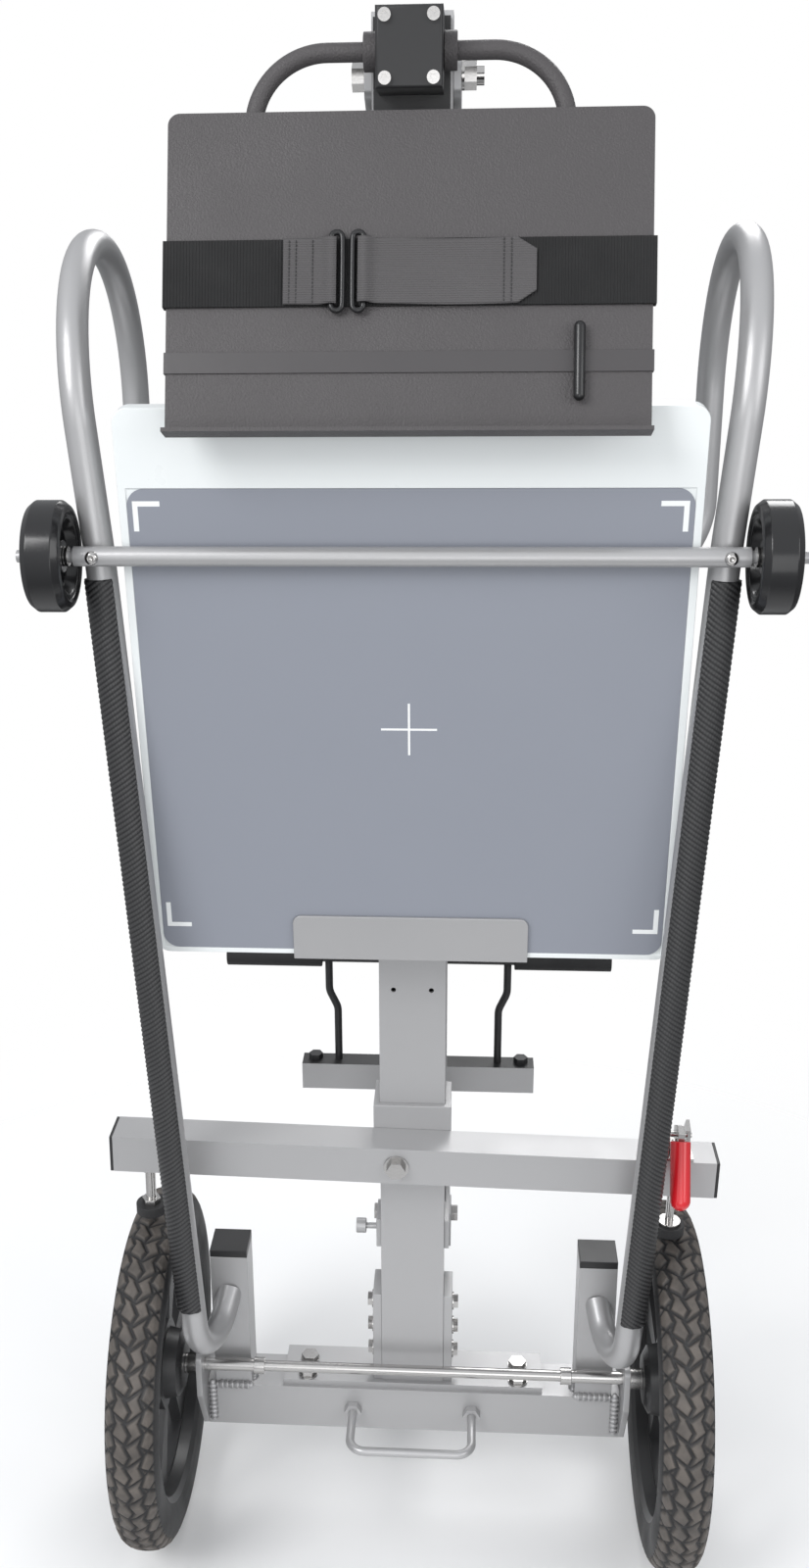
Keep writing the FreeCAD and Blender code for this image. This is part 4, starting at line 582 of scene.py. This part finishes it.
sewn_end = strip("strap_sewn_end", -0.093, -0.0528, 0.0247, 0.0026, 0.0011, -0.0565, seed=3)
finished(sewn_end, web, "tray", "webbing")
flap = strip("strap_flap", -0.037, 0.096, 0.0243, 0.003, 0.0012, -0.0325, cut=0.014, seed=5)
finished(flap, web, "tray", "webbing")

# Stitches. Rows of dark thread hold the grey strip's sewn end and close the flap's hem.
# Each stitch is a small flat box that lies on the webbing.
thread = look("thread", (0.028, 0.028, 0.029), 0.8, relief=0.0)
row_foot, row_head, stitch_pitch = 0.0985, 0.1435, 0.0028
stitch_wide, stitch_long, thread_thick = 0.0006, 0.0019, 0.0009
for part, x, low in (("outer", -0.0888, 0.0036), ("second", -0.0836, 0.0036), ("inner", -0.0711, 0.0036),
                     ("hem", 0.0714, 0.0041), ("hem_end", 0.077, 0.0041)):
    starts = np.arange(row_foot, row_head, stitch_pitch)
    spot = np.stack([np.full((len(starts), 4), x) + np.array((0, stitch_wide, stitch_wide, 0)),
                     starts[:, None] + np.array((0, 0, stitch_long, stitch_long))], axis=-1)
    points = np.concatenate([on_tray(spot[..., 0], spot[..., 1], low),
                             on_tray(spot[..., 0], spot[..., 1], low + thread_thick)], axis=1)
    box = np.array([(0, 3, 2, 1), (4, 5, 6, 7), (0, 1, 5, 4), (1, 2, 6, 5), (2, 3, 7, 6), (3, 0, 4, 7)])
    faces = (np.arange(len(starts))[:, None, None] * 8 + box[None]).reshape(-1, 4)
    row = bpy.data.meshes.new(f"stitches_{part}")
    row.from_pydata(points.reshape(-1, 3).tolist(), [], faces.tolist())
    stitches = bpy.data.objects.new(f"stitches_{part}", row)
    scene.collection.objects.link(stitches)
    finished(stitches, thread, "tray", "webbing")

# Slider, band and peg. Two black wire loops side by side, a thin satin rubber band and a black peg
# that the band holds. A loop's path is a circle stretched tall by a steep curve, with a round wire on it.
wire = look("buckle_wire", (0.012, 0.012, 0.013), 0.3, relief=0.03)
wire_radius, wire_off = 0.0022, 0.0049
loop_half_wide, loop_half_tall, loop_round = 0.0043, 0.0245, 0.0046
for part, middle in (("left", -0.0527), ("right", -0.0367)):
    turn = np.linspace(0, 2 * math.pi, 96, endpoint=False)
    tall = strap_up + loop_half_tall * np.tanh(6 * np.sin(turn)) + loop_round * np.sin(turn)
    path = np.stack([middle + loop_half_wide * np.cos(turn), tall], axis=-1)
    ahead = np.roll(path, -1, axis=0) - np.roll(path, 1, axis=0)
    ahead /= np.linalg.norm(ahead, axis=1, keepdims=True)
    side = np.stack([ahead[:, 1], -ahead[:, 0]], axis=-1)
    spin = np.linspace(0, 2 * math.pi, 16, endpoint=False)
    flat = path[:, None, :] + wire_radius * np.cos(spin)[None, :, None] * side[:, None, :]
    lift = wire_off + wire_radius * np.sin(spin)[None, :].repeat(len(path), axis=0)
    points = on_tray(flat[..., 0], flat[..., 1], lift)
    slider = skin(f"slider_{part}", points, wrap_rows=True, wrap_cols=True)
    finished(slider, wire, "tray", "black_plastic", "strap_buckle")
peg_turn = np.linspace(0, math.pi / 2, 9)
peg_x, peg_up, peg_off = 0.128, 0.024, 0.0056
radius, straight_end = 0.0043, 0.0547
low_end = np.stack([radius * np.sin(peg_turn) + 1e-6, radius - radius * np.cos(peg_turn)], axis=-1)
top_end = np.stack([radius * np.cos(peg_turn) + 1e-6, straight_end + radius * np.sin(peg_turn)], axis=-1)
peg = turned("peg", np.vstack([low_end, top_end]), on_tray(peg_x, peg_up, peg_off), tray_along)
finished(peg, wire, "tray", "black_plastic", "band_peg")
band = look("band_rubber", (0.066, 0.062, 0.064), 0.3, grain=200, relief=0.05)
dress("tray_band", band, crisp=0.0003)

# X-ray arm. Silver-painted box sections that hang folded behind the mast, with a black handle frame,
# its foam grips, a silver channel and the tube head.
arm = look("arm_paint", (0.5, 0.5, 0.505), 0.4, metal=0.5, grain=900, relief=0.06)
for node in ("upper_arm", "forearm", "xray_head"):
    dress(node, arm)
dress("collimator", plastic)
handle_frame = dress("grip_frame", plastic)
handle_frame.data.materials.append(silver)
heights = np.empty(len(handle_frame.data.polygons) * 3, np.float32)
handle_frame.data.polygons.foreach_get("center", heights)
channel_top = 0.4349
in_channel = (heights[2::3] < channel_top).astype(np.int32)
handle_frame.data.polygons.foreach_set("material_index", in_channel)
foam = look("grip_foam", (0.016, 0.016, 0.017), 0.75, grain=700, relief=0.3)
dress("grips", foam)
